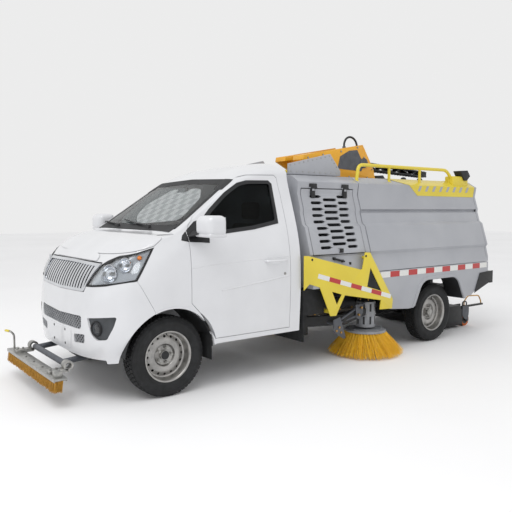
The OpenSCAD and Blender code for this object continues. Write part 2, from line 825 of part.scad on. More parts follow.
module side_brackets() {
    color("gold") both_sides() {
        difference() {
            through_y(bracket_y, bracket_y + bracket_t) polygon(from_axle(bracket_edge));
            for (w = bracket_windows) through_y(0, big) polygon(from_axle(w));
        }
        difference() {
            for (x = [bay_front + 30, bay_back - 86])
                block([x - 12, body_half - 80, 928], [x + 12, bracket_y + 2, 952]);
            through_x(bay_front, bay_back) body_outline(bay_floor_z);
        }
        block([front_x + 1540, rail_out, 470], [front_x + 1588, bracket_y + 2, 500]);
        block([front_x + 2205, body_half, arm_notch_z + 23], [front_x + 2240, bracket_y + 2, arm_notch_z + 53]);
    }
}

wedge_t = 8;

module rear_bumper() {
    color("dimgray") {
        both_sides() through_y(body_half, body_half + wedge_t) polygon(from_axle([[3700, 470], [3800, 684],
            [4048, 697], [4048, 600], [3962, 560]]));
        block([hopper_back + 20, -body_half - wedge_t, 560], [front_x + 4048, body_half + wedge_t, 690]);
        both_sides() block([frame_back - 40, rail_half + 4, rail_top], [front_x + 4010, rail_out - 4, 600]);
    }
}

module rear_lamps() {
    color("red") both_sides() block([front_x + 4048, 600, 585], [front_x + 4066, 790, 665]);
}

tilt_x = hopper_back + 14;
tilt_z = deck_z - 10;
// Where the tipping lugs stand, outboard of the centre line.
lug_y = 300;

// The hopper's outer form as one block, which the pieces on its roof are cut to.
module hopper_block() {
    through_x(hopper_front, hopper_back) body_outline(deck_z + 6);
}

module hopper() {
    color("lightslategray") difference() {
        hopper_block();
        through_x(hopper_front + body_wall, hopper_back + 10) body_inner(deck_z + 6 + body_wall);
    }
    color("lightslategray") both_sides() {
        gate_barrel(230, 39, hopper_back - 20, hopper_back);
        translate([tilt_x, lug_y, tilt_z]) rotate([-90, 0, 0]) cylinder(h = 20, r = 8, $fn = 24);
        block([hopper_back - 4, lug_y, deck_z + 6], [tilt_x + 8, lug_y + 20, deck_z + 11]);
        block([tilt_x - 8, lug_y, tilt_z], [tilt_x + 8, lug_y + 20, deck_z + 11]);
    }
    color("gold") both_sides() intersection() {
        through_x(front_x + 2750, hopper_back) translate([6, 0]) body_side_only();
        through_y(0, big) polygon([[front_x + 2752, 1556], [front_x + 2905, 1412], [hopper_back, 1398],
            [hopper_back, 1575], [front_x + 2752, 1575]]);
        block([front_x + 2700, 640 * body_scale, 1300], [big, big, 1700]);
    }
}

gate_hinge = [hopper_back + 3, body_top + 3];

// A barrel of the tailgate's hinge with the lug that carries it, from y0 along Y.
module gate_barrel(y0, length, lug_x0, lug_x1) {
    translate([gate_hinge[0], y0, gate_hinge[1]]) rotate([-90, 0, 0]) cylinder(h = length, r = 8, $fn = 24);
    block([lug_x0, y0, body_top - 22], [lug_x1, y0 + length, gate_hinge[1]]);
}

module tailgate() {
    color("lightslategray") {
        for (y = [-330, 270]) gate_barrel(y, 60, hopper_back + 6, hopper_back + 20);
        through_x(hopper_back + 6, hopper_back + 6 + gate_t) body_outline(deck_z + 12);
        for (y = [-420, 0, 420]) block([hopper_back + 40, y - 30, 900], [hopper_back + 56, y + 30, 1560]);
    }
}

rail_tube = 34;
rail_y = 600 * body_scale;
shoulder = rib_side[9];
crest = rib_side[10];
// Height of the sloping roof's edge over a rail's feet.
rail_foot = shoulder[1] + (shoulder[0] - rail_y) / (shoulder[0] - crest[0]) * (crest[1] - shoulder[1]) - 34;

module roof_rails() {
    color("gold") both_sides() difference() {
        union() {
            swept_tube(rounded_path([[hopper_front + 28, rail_y, rail_foot], [hopper_front + 58, rail_y, 1802],
                [front_x + 3530, rail_y, 1802], [front_x + 3640, rail_y, 1690]], 60), rail_tube);
            for (x = [2590, 3070]) translate([front_x + x, rail_y, rail_foot])
                cylinder(h = 1802 - rail_foot, d = 28, $fn = 12);
            block([front_x + 3600, rail_y - 70, rail_foot], [front_x + 3880, rail_y + 40, 1740]);
        }
        hopper_block();
    }
    color("dimgray") both_sides() block([front_x + 3830, rail_y - 40, 1738], [front_x + 3930, rail_y + 60, 1830]);
}

module deflectors() {
    color("gray") both_sides() {
        through_y(500, 520) polygon(from_axle([[1350, 1690], [1350, 1782], [1857, 1892], [1990, 1740], [1990, 1690]]));
        through_y(380, 520) polygon(from_axle([[1350, 1690], [1350, 1700], [1990, 1700], [1990, 1690]]));
    }
}

pivot_x = front_x + 2640;
pivot_z = 1862;

module boom_pedestal() {
    color("gold") difference() {
        union() {
            both_sides() through_y(190, 215) polygon(from_axle([[2140, 1690], [1790, 1860], [1800, 1905],
                [2620, 2050], [2790, 1800], [2820, 1690]]));
            both_sides() through_y(60, 215) polygon(from_axle([[1790, 1860], [1800, 1905], [1990, 1938],
                [2000, 1890]]));
            block([front_x + 2150, -215, 1690], [front_x + 2820, 215, 1712]);
        }
        hopper_block();
    }
    color("dimgray") for (p = [hose_path[0], hose_path[len(hose_path) - 1]]) translate(p) {
        block([-24, -36, -84], [24, 25, -24]);
        translate([0, 0, -25]) cylinder(h = 25, d = hose_d + 12, $fn = 24);
    }
    color("dimgray") difference() {
        translate([pivot_x, -190, pivot_z]) rotate([-90, 0, 0]) cylinder(h = 380, r = 29.9, $fn = 40);
        translate([pivot_x, -66, pivot_z]) rotate([-90, 0, 0]) cylinder(h = 132, r = 40, $fn = 40);
    }
    color("dimgray") translate([pivot_x, -67, pivot_z]) rotate([-90, 0, 0]) cylinder(h = 134, r = 17.9, $fn = 40);
}

hose_d = 22;
// The hose's route from one fitting to the other, measured from the front axle.
hose_points = [[2405, -155, 2016], [2405, -155, 2024], [2405, -155, 2034], [2408, -154, 2058],
    [2418, -153, 2081], [2433, -152, 2101], [2453, -151, 2116], [2476, -150, 2125], [2500, -150, 2128],
    [2524, -150, 2125], [2547, -151, 2116], [2567, -152, 2101], [2582, -153, 2081], [2592, -154, 2058],
    [2595, -155, 2034], [2595, -155, 2014], [2595, -155, 1994], [2595, -155, 1976]];
hose_path = [for (p = hose_points) [p[0] + front_x, p[1], p[2]]];

module hose() {
    color("black") swept_tube(hose_path, hose_d);
}

boom_end = [front_x + 3900, 0, 1790];

boom_bays = 8;

// Upper and lower chord of the boom at a share of its length.
function boom_top(t) = [pivot_x + t * (boom_end[0] - pivot_x), pivot_z + 40 + t * (boom_end[2] - pivot_z - 10)];
function boom_low(t) = [pivot_x + t * (boom_end[0] - pivot_x), pivot_z - 45 + t * (boom_end[2] - pivot_z + 15)];

// Triangles between the chords, point up and point down by turns.
module boom_windows() {
    for (i = [0:boom_bays - 1]) {
        t = 0.08 + 0.9 * i / boom_bays;
        step = 0.9 / boom_bays;
        up = i % 2 == 0;
        wide_a = up ? boom_low(t + 0.02) : boom_top(t + 0.02);
        wide_b = up ? boom_low(t + 2 * step - 0.02) : boom_top(t + 2 * step - 0.02);
        tip = up ? boom_top(t + step) : boom_low(t + step);
        lift = up ? 13 : -13;
        if (i < boom_bays - 1)
            polygon([wide_a + [0, lift], wide_b + [0, lift], tip - [0, lift]]);
    }
}

module boom() {
    color("dimgray") difference() {
        union() {
            translate([pivot_x, -56, pivot_z]) rotate([-90, 0, 0]) cylinder(h = 112, r = 52, $fn = 48);
            through_y(-56, 56) polygon([boom_top(0), boom_top(1), boom_low(1), boom_low(0)]);
        }
        translate([pivot_x, -100, pivot_z]) rotate([-90, 0, 0]) cylinder(h = 200, r = 18, $fn = 40);
        through_y(-100, 100) boom_windows();
    }
}

// ---------- brooms and nozzle ----------

broom_axis_x = front_x + broom_x;
disc_z = 214;

module brush_arm(s) {
    color("dimgray") on_side(s) {
        difference() {
            union() {
                translate([arm_pivot[0], arm_pivot[1], 250]) cylinder(h = 172, r = 36, $fn = 40);
                hull() {
                    translate([arm_pivot[0], arm_pivot[1], 300]) cylinder(h = 90, r = 30, $fn = 32);
                    translate([arm_pivot[0] + 260, arm_pivot[1] + 240, 330]) cylinder(h = 90, r = 24, $fn = 32);
                }
                hull() {
                    translate([arm_pivot[0] + 260, arm_pivot[1] + 240, 330]) cylinder(h = 90, r = 24, $fn = 32);
                    translate([broom_axis_x, broom_y, 400]) cylinder(h = 50, r = 60, $fn = 32);
                }
            }
            translate([arm_pivot[0], arm_pivot[1], 0]) cylinder(h = 800, r = 18, $fn = 40);
            translate([broom_axis_x, broom_y, 0]) cylinder(h = 405, r = 92, $fn = 64);
        }
        difference() {
            translate([broom_axis_x, broom_y, disc_z + 42]) cylinder(h = 250, r = 88, $fn = 64);
            translate([broom_axis_x, broom_y, 0]) cylinder(h = 420, r = 20, $fn = 40);
        }
        translate([broom_axis_x, broom_y, disc_z + 291]) cylinder(h = 36, r1 = 88, r2 = 60, $fn = 64);
    }
}

module side_brush(s) {
    color("gray") on_side(s) translate([broom_axis_x, broom_y, 0]) {
        translate([0, 0, disc_z]) cylinder(h = 26, r = disc_d / 2, $fn = 96);
        translate([0, 0, disc_z + 25]) cylinder(h = 150, r = 19.95, $fn = 40);
    }
    color("goldenrod") on_side(s) translate([broom_axis_x, broom_y, 0])
        rotate_extrude($fn = 96) polygon([[70, disc_z + 1], [disc_d / 2 - 8, disc_z + 1],
            [side_broom_d / 2, 14], [side_broom_d / 2 - 70, 6]]);
}

fb_x = front_x - 735;

module front_broom_arms() {
    color("gray") {
        for (y = [-300, 300]) rod([frame_front + 58, y, arm_root_z], [fb_x + 110, y, 262], 44);
        rod([fb_x + 110, -340, 262], [fb_x + 110, 340, 262], 43.9);
    }
}

module front_broom() {
    color("gray") {
        difference() {
            union() {
                for (y = [-400, 400]) translate([fb_x + 110, y - 30, 262]) rotate([-90, 0, 0])
                    cylinder(h = 60, r = 36, $fn = 40);
                for (y = [-400, 400]) block([fb_x - 30, y - 30, 215], [fb_x + 110, y + 30, 245]);
                block([fb_x - 45, -front_broom_w / 2, 205], [fb_x + 40, front_broom_w / 2, 222]);
                block([fb_x - 30, -front_broom_w / 2 + 30, 221], [fb_x + 20, -front_broom_w / 2 + 90, 262]);
            }
            translate([fb_x + 110, -500, 262]) rotate([-90, 0, 0]) cylinder(h = 1000, r = 22, $fn = 40);
        }
        swept_tube(rounded_path([[fb_x - 5, front_broom_w / 2 - 60, 220], [fb_x - 5, front_broom_w / 2 - 60, 340],
            [fb_x - 30, front_broom_w / 2 - 60, 372], [fb_x - 55, front_broom_w / 2 + 10, 372]], 25), 18, [1, 0.2, 0]);
    }
    color("goldenrod") through_y(-front_broom_w / 2, front_broom_w / 2)
        polygon([[fb_x - 36, 206], [fb_x + 16, 206], [fb_x - 5, 120], [fb_x - 65, 122]]);
}

nozzle_x0 = front_x + 3700;
nozzle_x1 = front_x + 4020;
nozzle_half = 520;
caster_x = front_x + 4120;
caster_y = 455;

module rear_nozzle() {
    color("dimgray") {
        difference() {
            through_y(-nozzle_half, nozzle_half) polygon([[nozzle_x0, 30], [nozzle_x0, 200], [nozzle_x0 + 60, 262],
                [nozzle_x1 - 60, 262], [nozzle_x1, 200], [nozzle_x1, 30]]);
            through_y(-nozzle_half + 24, nozzle_half - 24) polygon([[nozzle_x0 + 24, 0], [nozzle_x0 + 24, 190],
                [nozzle_x0 + 72, 238], [nozzle_x1 - 72, 238], [nozzle_x1 - 24, 190], [nozzle_x1 - 24, 0]]);
            translate([(nozzle_x0 + nozzle_x1) / 2, 0, 0]) cylinder(h = 600, r = 90, $fn = 48);
        }
        translate([(nozzle_x0 + nozzle_x1) / 2, 0, 255]) difference() {
            cylinder(h = 90, r = 100, $fn = 48);
            translate([0, 0, -10]) cylinder(h = 120, r = 90, $fn = 48);
        }
        both_sides() {
            block([nozzle_x1 - 4, caster_y - 62, 130], [caster_x + 30, caster_y - 50, 250]);
            block([nozzle_x1 - 4, caster_y + 50, 130], [caster_x + 30, caster_y + 62, 250]);
            block([nozzle_x1 - 4, caster_y - 62, 200], [caster_x + 30, caster_y + 62, 212]);
            translate([caster_x, caster_y - 56, caster_d / 2]) rotate([-90, 0, 0]) cylinder(h = 112, r = 9.95, $fn = 32);
            block([caster_x - 26, caster_y - 62, caster_d / 2 - 20], [caster_x + 26, caster_y - 50, 140]);
            block([caster_x - 26, caster_y + 50, caster_d / 2 - 20], [caster_x + 26, caster_y + 62, 140]);
            block([caster_x - 20, caster_y - 14, 212], [front_x + wheelbase + rear_reach, caster_y + 14, 232]);
            swept_tube(rounded_path([[caster_x - 62, caster_y + 36, 209], [caster_x - 62, caster_y + 36, 292],
                [caster_x + 20, caster_y + 36, 292], [caster_x + 20, caster_y + 36, 209]], 32), 14);
            difference() {
                hull() {
                    translate([nozzle_pivot[0], 250, nozzle_pivot[1]]) rotate([-90, 0, 0]) cylinder(h = 25, r = 26, $fn = 32);
                    block([nozzle_x0 + 30, 250, 225], [nozzle_x0 + 130, 275, 250]);
                }
                translate([nozzle_pivot[0], 200, nozzle_pivot[1]]) rotate([-90, 0, 0]) cylinder(h = 200, r = 12, $fn = 32);
            }
        }
    }
}

module caster(s) {
    color("darkorange") on_side(s) translate([caster_x, caster_y - 36, caster_d / 2]) rotate([-90, 0, 0])
        difference() {
            cylinder(h = 72, r = caster_d / 2, $fn = 64);
            translate([0, 0, -5]) cylinder(h = 90, r = 10, $fn = 32);
        }
}

eye_t = 28;

module tow_eye() {
    color("dimgray") translate([frame_back, -eye_t / 2, rail_z + 55]) difference() {
        union() {
            translate([0, 0, -25]) cube([40, eye_t, 50]);
            translate([62, 0, 0]) rotate([-90, 0, 0]) cylinder(h = eye_t, r = 40, $fn = 48);
        }
        translate([62, -10, 0]) rotate([-90, 0, 0]) cylinder(h = eye_t + 20, r = 16, $fn = 40);
    }
}

// ---------- nodes ----------

chassis_frame();
front_suspension();
knuckle(left);  // knuckle_left
knuckle(right);  // knuckle_right
tyre(front_x, left);  // tyre_fl
tyre(front_x, right);  // tyre_fr
tyre(rear_x, left);  // tyre_rl
tyre(rear_x, right);  // tyre_rr
rim(front_x, left);  // rim_fl
rim(front_x, right);  // rim_fr
rim(rear_x, left);  // rim_rl
rim(rear_x, right);  // rim_rr
rear_axle();
engine();
exhaust();
cab_shell();
hood();
front_bumper();
grille();
headlamps();
windscreen();
door(left);  // door_left
door(right);  // door_right
door_glass(left);  // door_glass_left
door_glass(right);  // door_glass_right
mirror_unit(left);  // mirror_left
mirror_unit(right);  // mirror_right
seats();
dashboard();
steering_wheel();
bay_shell();
bay_door(left);  // bay_door_left
bay_door(right);  // bay_door_right
blower();
body_mounts();
deck();
lower_body();
side_brackets();
rear_bumper();
rear_lamps();
hopper();
tailgate();
roof_rails();
deflectors();
boom_pedestal();
hose();
boom();
brush_arm(left);  // brush_arm_left
brush_arm(right);  // brush_arm_right
side_brush(left);  // side_brush_left
side_brush(right);  // side_brush_right
front_broom_arms();
front_broom();
rear_nozzle();
caster(left);  // caster_left
caster(right);  // caster_right
tow_eye();
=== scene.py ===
import math
import random

import bpy
import numpy as np
from mathutils import Matrix, Vector
from mathutils.bvhtree import BVHTree


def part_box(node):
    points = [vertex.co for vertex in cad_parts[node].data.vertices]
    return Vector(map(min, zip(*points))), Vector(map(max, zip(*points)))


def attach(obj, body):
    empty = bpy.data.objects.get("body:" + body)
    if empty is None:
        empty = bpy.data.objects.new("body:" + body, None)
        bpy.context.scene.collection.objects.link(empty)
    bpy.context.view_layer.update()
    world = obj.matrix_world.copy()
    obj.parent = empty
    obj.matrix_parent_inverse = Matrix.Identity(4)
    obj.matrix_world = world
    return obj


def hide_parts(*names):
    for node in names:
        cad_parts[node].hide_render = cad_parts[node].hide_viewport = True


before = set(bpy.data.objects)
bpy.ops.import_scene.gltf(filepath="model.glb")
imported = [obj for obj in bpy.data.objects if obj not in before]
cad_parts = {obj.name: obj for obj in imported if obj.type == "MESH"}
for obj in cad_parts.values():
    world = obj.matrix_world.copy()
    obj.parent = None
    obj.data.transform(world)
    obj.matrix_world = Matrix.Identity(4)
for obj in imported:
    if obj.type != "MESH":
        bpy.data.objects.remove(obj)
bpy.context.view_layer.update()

random.seed(11)

# places that everything else is measured from, in metres
frontX = sum(c.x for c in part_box("tyre_fl")) / 2  # front axle
rearX = sum(c.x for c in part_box("tyre_rl")) / 2
axleZ = sum(c.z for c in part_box("tyre_fl")) / 2
wheelY = sum(c.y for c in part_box("tyre_fr")) / 2
left, right = -1, 1
sideNames = {left: "left", right: "right"}


def clearSelection():
    if bpy.context.object and bpy.context.object.mode != "OBJECT":
        bpy.ops.object.mode_set(mode="OBJECT")
    bpy.ops.object.select_all(action="DESELECT")


def activate(obj):
    clearSelection()
    obj.select_set(True)
    bpy.context.view_layer.objects.active = obj
    return obj


def editAll(obj):
    activate(obj)
    bpy.ops.object.mode_set(mode="EDIT")
    bpy.ops.mesh.select_all(action="SELECT")


def leaveEdit():
    bpy.ops.object.mode_set(mode="OBJECT")


def outwards(obj, merge=1e-5):
    editAll(obj)
    bpy.ops.mesh.remove_doubles(threshold=merge)
    bpy.ops.mesh.normals_make_consistent(inside=False)
    leaveEdit()
    return obj


def applyAll(obj):
    activate(obj)
    for m in list(obj.modifiers):
        bpy.ops.object.modifier_apply(modifier=m.name)
    return obj


def modify(obj, kind, **settings):
    m = obj.modifiers.new(kind.lower(), kind)
    for key, value in settings.items():
        setattr(m, key, value)
    return applyAll(obj)


def softEdges(obj, width=0.003, segments=2, angle=32):
    return modify(obj, "BEVEL", width=width, segments=segments, limit_method="ANGLE",
                  angle_limit=math.radians(angle), harden_normals=False, use_clamp_overlap=True)


def smooth(obj, angle=32):
    activate(obj)
    bpy.ops.object.shade_smooth_by_angle(angle=math.radians(angle))
    return obj


def settle(obj):
    # the place goes into the mesh, so that the object sits at the origin
    activate(obj)
    bpy.ops.object.transform_apply(location=True, rotation=True, scale=True)
    return obj


def faceFrom(name, points):
    clearSelection()
    bpy.ops.mesh.primitive_circle_add(vertices=len(points), fill_type="NGON")
    obj = bpy.context.object
    obj.name = name
    obj.data.vertices.foreach_set("co", [c for p in points for c in p])
    obj.data.update()
    return obj


def pushed(name, points, along):
    obj = faceFrom(name, points)
    editAll(obj)
    bpy.ops.mesh.extrude_region_move(TRANSFORM_OT_translate={"value": along})
    leaveEdit()
    return outwards(obj)


def sidePlate(name, points, y0, y1):
    return pushed(name, [(x, y0, z) for x, z in points], (0, y1 - y0, 0))


def frontPlate(name, points, x0, x1):
    return pushed(name, [(x0, y, z) for y, z in points], (x1 - x0, 0, 0))


def box(name, low, high, edge=0.002, segments=2):
    clearSelection()
    bpy.ops.mesh.primitive_cube_add(size=1, location=[(a + b) / 2 for a, b in zip(low, high)])
    obj = bpy.context.object
    obj.name = name
    obj.scale = [b - a for a, b in zip(low, high)]
    settle(obj)
    if edge:
        softEdges(obj, edge, segments)
    return obj


def across(side, a, b):
    # two distances from the middle as y on one side, the lower first
    return sorted((side * a, side * b))


def at(x, y, z):
    # x is measured back from the front axle
    return Vector((frontX + x, y, z))


def blockAt(name, xs, ys, zs, edge=0.002, segments=2):
    # box between two x from the front axle, two y and two z
    return box(name, (frontX + xs[0], ys[0], zs[0]), (frontX + xs[1], ys[1], zs[1]), edge, segments)


def blockNear(name, x, side, xs, ys, zs, edge=0.002, segments=2):
    # the same about a place x, with its y as distances from the middle on one side
    return blockAt(name, (x + xs[0], x + xs[1]), across(side, *ys), zs, edge, segments)


def boltAcross(name, x, z, side, ys, radius, sides=6, edge=0.001):
    # bar along Y between two distances from the middle on one side
    return bar(name, at(x, side * ys[0], z), at(x, side * ys[1], z), radius, sides, edge)


def bar(name, a, b, radius, sides=20, edge=0.0):
    a, b = Vector(a), Vector(b)
    clearSelection()
    bpy.ops.mesh.primitive_cylinder_add(vertices=sides, radius=radius, depth=(b - a).length,
                                        location=(a + b) / 2)
    obj = bpy.context.object
    obj.name = name
    obj.rotation_mode = "QUATERNION"
    obj.rotation_quaternion = (b - a).to_track_quat("Z", "Y")
    settle(obj)
    if edge:
        softEdges(obj, edge, 2, 50)
    return obj


def ball(centre, radius, segments, rings):
    clearSelection()
    bpy.ops.mesh.primitive_uv_sphere_add(segments=segments, ring_count=rings, radius=radius, location=centre)
    return settle(bpy.context.object)


def turned(name, profile, centre, axis, steps=48):
    # profile is (radius, distance along axis), closed on itself
    axis = Vector(axis).normalized()
    out = axis.orthogonal().normalized()
    centre = Vector(centre)
    obj = faceFrom(name, [centre + out * r + axis * h for r, h in profile])
    editAll(obj)
    bpy.ops.mesh.delete(type="ONLY_FACE")
    bpy.ops.mesh.select_all(action="SELECT")
    bpy.ops.mesh.spin(steps=steps, angle=math.tau, center=centre, axis=axis)
    leaveEdit()
    return outwards(obj, 2e-5)


def tube(name, points, radius, sides=12):
    curve = bpy.data.curves.new(name, "CURVE")
    curve.dimensions = "3D"
    curve.bevel_depth = radius
    curve.bevel_resolution = max(1, sides // 4 - 1)
    curve.use_fill_caps = True
    spline = curve.splines.new("POLY")
    spline.points.add(len(points) - 1)
    for point, place in zip(spline.points, points):
        point.co = (*place, 1)
    obj = bpy.data.objects.new(name, curve)
    bpy.context.collection.objects.link(obj)
    activate(obj)
    bpy.ops.object.convert(target="MESH")
    return outwards(bpy.context.object)


def corner(before, here, after, reach, steps):
    # the curve that takes the place of a corner, from up to reach before it to as far after it
    back, ahead = before - here, after - here
    reach = min(reach, back.length * 0.45, ahead.length * 0.45)
    start, end = here + back.normalized() * reach, here + ahead.normalized() * reach
    shares = [k / steps for k in range(steps + 1)]
    return [start * (1 - t) ** 2 + here * 2 * t * (1 - t) + end * t * t for t in shares]


def rounded(points, reach, steps=5):
    # the same open path with its corners rounded
    points = [Vector(p) for p in points]
    path = [points[0]]
    for trio in zip(points, points[1:], points[2:]):
        path += corner(*trio, reach, steps)
    return path + [points[-1]]


def roundedOutline(points, radius, steps=4):
    # closed flat outline with its corners rounded
    pts = [Vector((*p, 0)) for p in points]
    out = []
    for trio in zip(pts[-1:] + pts[:-1], pts, pts[1:] + pts[:1]):
        out += [(q.x, q.y) for q in corner(*trio, radius, steps)]
    return out


def grown(points, distance):
    # closed outline moved outwards by distance, negative for inwards
    if not distance:
        return points
    n = len(points)
    area = sum(points[i - 1][0] * points[i][1] - points[i][0] * points[i - 1][1] for i in range(n))
    side = 1 if area > 0 else -1
    out = []
    for i in range(n):
        p, q, r = (Vector(points[j % n]) for j in (i - 1, i, i + 1))
        a, b = (q - p).normalized(), (r - q).normalized()
        na, nb = Vector((a.y, -a.x)) * side, Vector((b.y, -b.x)) * side
        both = (na + nb).normalized()
        reach = distance / max(0.4, both.dot(na))
        out.append(tuple(q + both * reach))
    return out


def cut(obj, tool, operation="DIFFERENCE"):
    # the tool is used up
    modify(obj, "BOOLEAN", object=tool, operation=operation, solver="EXACT")
    bpy.data.objects.remove(tool)
    return obj


def duplicate(obj, name, matrix=None):
    copy = bpy.data.objects.new(name, obj.data.copy())
    bpy.context.collection.objects.link(copy)
    if matrix is not None:
        copy.data.transform(matrix)
        if matrix.determinant() < 0:
            copy.data.flip_normals()
    return copy


def mirrored(obj, name):
    return duplicate(obj, name, Matrix.Diagonal((1, -1, 1, 1)))


def joined(objs, name):
    clearSelection()
    for o in objs:
        o.select_set(True)
    bpy.context.view_layer.objects.active = objs[0]
    if len(objs) > 1:
        bpy.ops.object.join()
    obj = bpy.context.object
    obj.name = name
    return obj


def finished(obj, name, body, material, replaces=(), angle=32):
    obj.name = name
    obj.data.materials.clear()
    obj.data.materials.append(material)
    if angle:
        smooth(obj, angle)
    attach(obj, body)
    if replaces:
        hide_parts(*replaces)
    return obj


def fromNode(node, name, edge=0.003, segments=2, angle=32, flat=True):
    # a copy of a CAD solid with its flat faces joined up and its edges rounded
    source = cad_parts[node]
    obj = bpy.data.objects.new(name, source.data.copy())
    bpy.context.collection.objects.link(obj)
    obj.data.materials.clear()
    editAll(obj)
    bpy.ops.mesh.remove_doubles(threshold=2e-5)
    if flat:
        bpy.ops.mesh.dissolve_limited(angle_limit=math.radians(0.6))
    leaveEdit()
    if obj.data.has_custom_normals:
        bpy.ops.mesh.customdata_custom_splitnormals_clear()
    if edge:
        softEdges(obj, edge, segments, angle)
    return obj


def gathered(parts, name, body, material, replaces=(), angle=32):
    return finished(joined(parts, name), name, body, material, replaces, angle)


def dressed(node, name, body, material, edge=0.003, segments=2, flat=True):
    # a CAD solid with softened edges stands in for itself
    return finished(fromNode(node, name, edge, segments, flat=flat), name, body, material, [node])


def linear(hexText):
    channels = [int(hexText[i:i + 2], 16) / 255 for i in (1, 3, 5)]
    return tuple(c / 12.92 if c <= 0.04045 else ((c + 0.055) / 1.055) ** 2.4 for c in channels) + (1,)


def addNode(material, kind, values={}, links={}, **settings):
    node = material.node_tree.nodes.new(kind)
    for key, value in settings.items():
        setattr(node, key, value)
    for socket, value in values.items():
        node.inputs[socket].default_value = value
    for socket, source in links.items():
        material.node_tree.links.new(source, node.inputs[socket])
    return node


def newFinish(name, colour, **sockets):
    material = bpy.data.materials.new(name)
    material.use_nodes = True
    shader = material.node_tree.nodes["Principled BSDF"]
    shader.inputs["Base Color"].default_value = linear(colour)
    for socket, value in sockets.items():
        shader.inputs[socket.replace("_", " ")].default_value = value
    return material, shader


def place(material):
    return addNode(material, "ShaderNodeTexCoord").outputs["Object"]


def mottled(material, shader, low, high, size, socket="Base Color", detail=4.0, spread=(0.35, 0.65)):
    # cloudy change between two values, one patch about size metres across
    noise = addNode(material, "ShaderNodeTexNoise", {"Scale": 1 / size, "Detail": detail},
                    {"Vector": place(material)})
    ramp = addNode(material, "ShaderNodeValToRGB", links={"Fac": noise.outputs["Fac"]})
    stops = ramp.color_ramp.elements
    stops[0].position, stops[1].position = spread
    stops[0].color = linear(low) if isinstance(low, str) else (low, low, low, 1)
    stops[1].color = linear(high) if isinstance(high, str) else (high, high, high, 1)
    material.node_tree.links.new(ramp.outputs["Color"], shader.inputs[socket])
    return ramp


def grained(material, shader, size, depth, detail=3.0):
    # fine relief, size across and depth high in metres
    noise = addNode(material, "ShaderNodeTexNoise", {"Scale": 1 / size, "Detail": detail},
                    {"Vector": place(material)})
    bump = addNode(material, "ShaderNodeBump", {"Strength": 1.0, "Distance": depth},
                   {"Height": noise.outputs["Fac"]})
    material.node_tree.links.new(bump.outputs["Normal"], shader.inputs["Normal"])
    return bump


def clouded(name, colour, dark, light, patch, relief, detail=4.0, spread=(0.35, 0.65), **sockets):
    # one colour clouded over another; relief is the size, depth and detail of the grain
    material, shader = newFinish(name, colour, **sockets)
    mottled(material, shader, dark, light, patch, detail=detail, spread=spread)
    if relief:
        grained(material, shader, *relief)
    return material


def coachEnamel(name, dark, light, roughness, coat):
    # sprayed two-pack enamel: an even coat with faint orange peel, drawn coarser than the real 2 mm
    return clouded(name, light, dark, light, 0.35, (0.009, 0.00006, 2.0), 3.0, (0.3, 0.7),
                   Roughness=roughness, Coat_Weight=coat, Coat_Roughness=0.06)


def coatedSteel(name, dark, light, roughness, size=0.05):
    # powder coat or brushed-on chassis enamel: satin, slightly pitted
    return clouded(name, light, dark, light, size, (0.004, 0.00012), Roughness=roughness)


def bareMetal(name, dark, light, roughness, size=0.03):
    # plated or bare metal with uneven sheen
    material, shader = newFinish(name, light, Metallic=1.0)
    mottled(material, shader, dark, light, size)
    mottled(material, shader, roughness * 0.8, roughness * 1.3, size * 0.6, "Roughness")
    grained(material, shader, 0.003, 0.00005)
    return material


whiteCoach = coachEnamel("whiteCoachEnamel", "#D3D4D7", "#DBDCDF", 0.30, 0.8)
greyEnamel = coachEnamel("blueGreyEnamel", "#A0A2A8", "#A9ABB0", 0.42, 0.25)
yellowEnamel = coachEnamel("signalYellowEnamel", "#D8C233", "#E0CB3C", 0.42, 0.3)
amberEnamel = coachEnamel("amberYellowEnamel", "#E29F15", "#EDAE20", 0.45, 0.3)
blackPowder = coatedSteel("blackPowderCoat", "#141415", "#1E1F21", 0.5)
greyPowder = coatedSteel("darkGreyPowderCoat", "#4A4D53", "#575A61", 0.48)
midGreyPowder = coatedSteel("machineGreyEnamel", "#85878B", "#95979B", 0.45)
blackPlastic = coatedSteel("grainedBlackPolypropylene", "#17181A", "#222326", 0.6, 0.08)
greyPlastic = coatedSteel("charcoalPolypropylene", "#3A3D40", "#45484C", 0.55, 0.08)
castIron = coatedSteel("castIron", "#4B4A48", "#5E5C59", 0.7, 0.03)
wheelEnamel = bareMetal("silverWheelEnamel", "#9C9B99", "#B2B0AD", 0.40, 0.08)
chromePlate = bareMetal("chromePlate", "#D4D6DA", "#E2E4E8", 0.09, 0.2)
zincPlate = bareMetal("zincPlate", "#9A9A98", "#B5B4B0", 0.36)
brassBolt = bareMetal("yellowZincPlate", "#A8824A", "#C79C5C", 0.34)
dullSteel = bareMetal("dullSteel", "#6A655E", "#857F77", 0.5)


def seeThrough(name, colour, roughness, ior, size, depth):
    # glass or clear plastic, tinted all through and faintly uneven
    material, shader = newFinish(name, colour, Roughness=roughness, IOR=ior, Transmission_Weight=1.0)
    grained(material, shader, size, depth, 1.0)
    return material


def bristle(name, root, tip):
    # drawn polypropylene filament: waxy, each tuft a little lighter or darker
    return clouded(name, tip, root, tip, 0.012, (0.002, 0.0003), 2.0, (0.3, 0.62), Roughness=0.5)


def reflectiveTape(name, dark, light):
    # prismatic marking tape: small cells that catch the light
    material, shader = newFinish(name, light, Roughness=0.3, Coat_Weight=0.6, Coat_Roughness=0.1)
    cells = addNode(material, "ShaderNodeTexVoronoi", {"Scale": 1 / 0.006}, {"Vector": place(material)})
    ramp = addNode(material, "ShaderNodeValToRGB", links={"Fac": cells.outputs["Distance"]})
    ramp.color_ramp.elements[0].color, ramp.color_ramp.elements[1].color = linear(light), linear(dark)
    material.node_tree.links.new(ramp.outputs["Color"], shader.inputs["Base Color"])
    return material


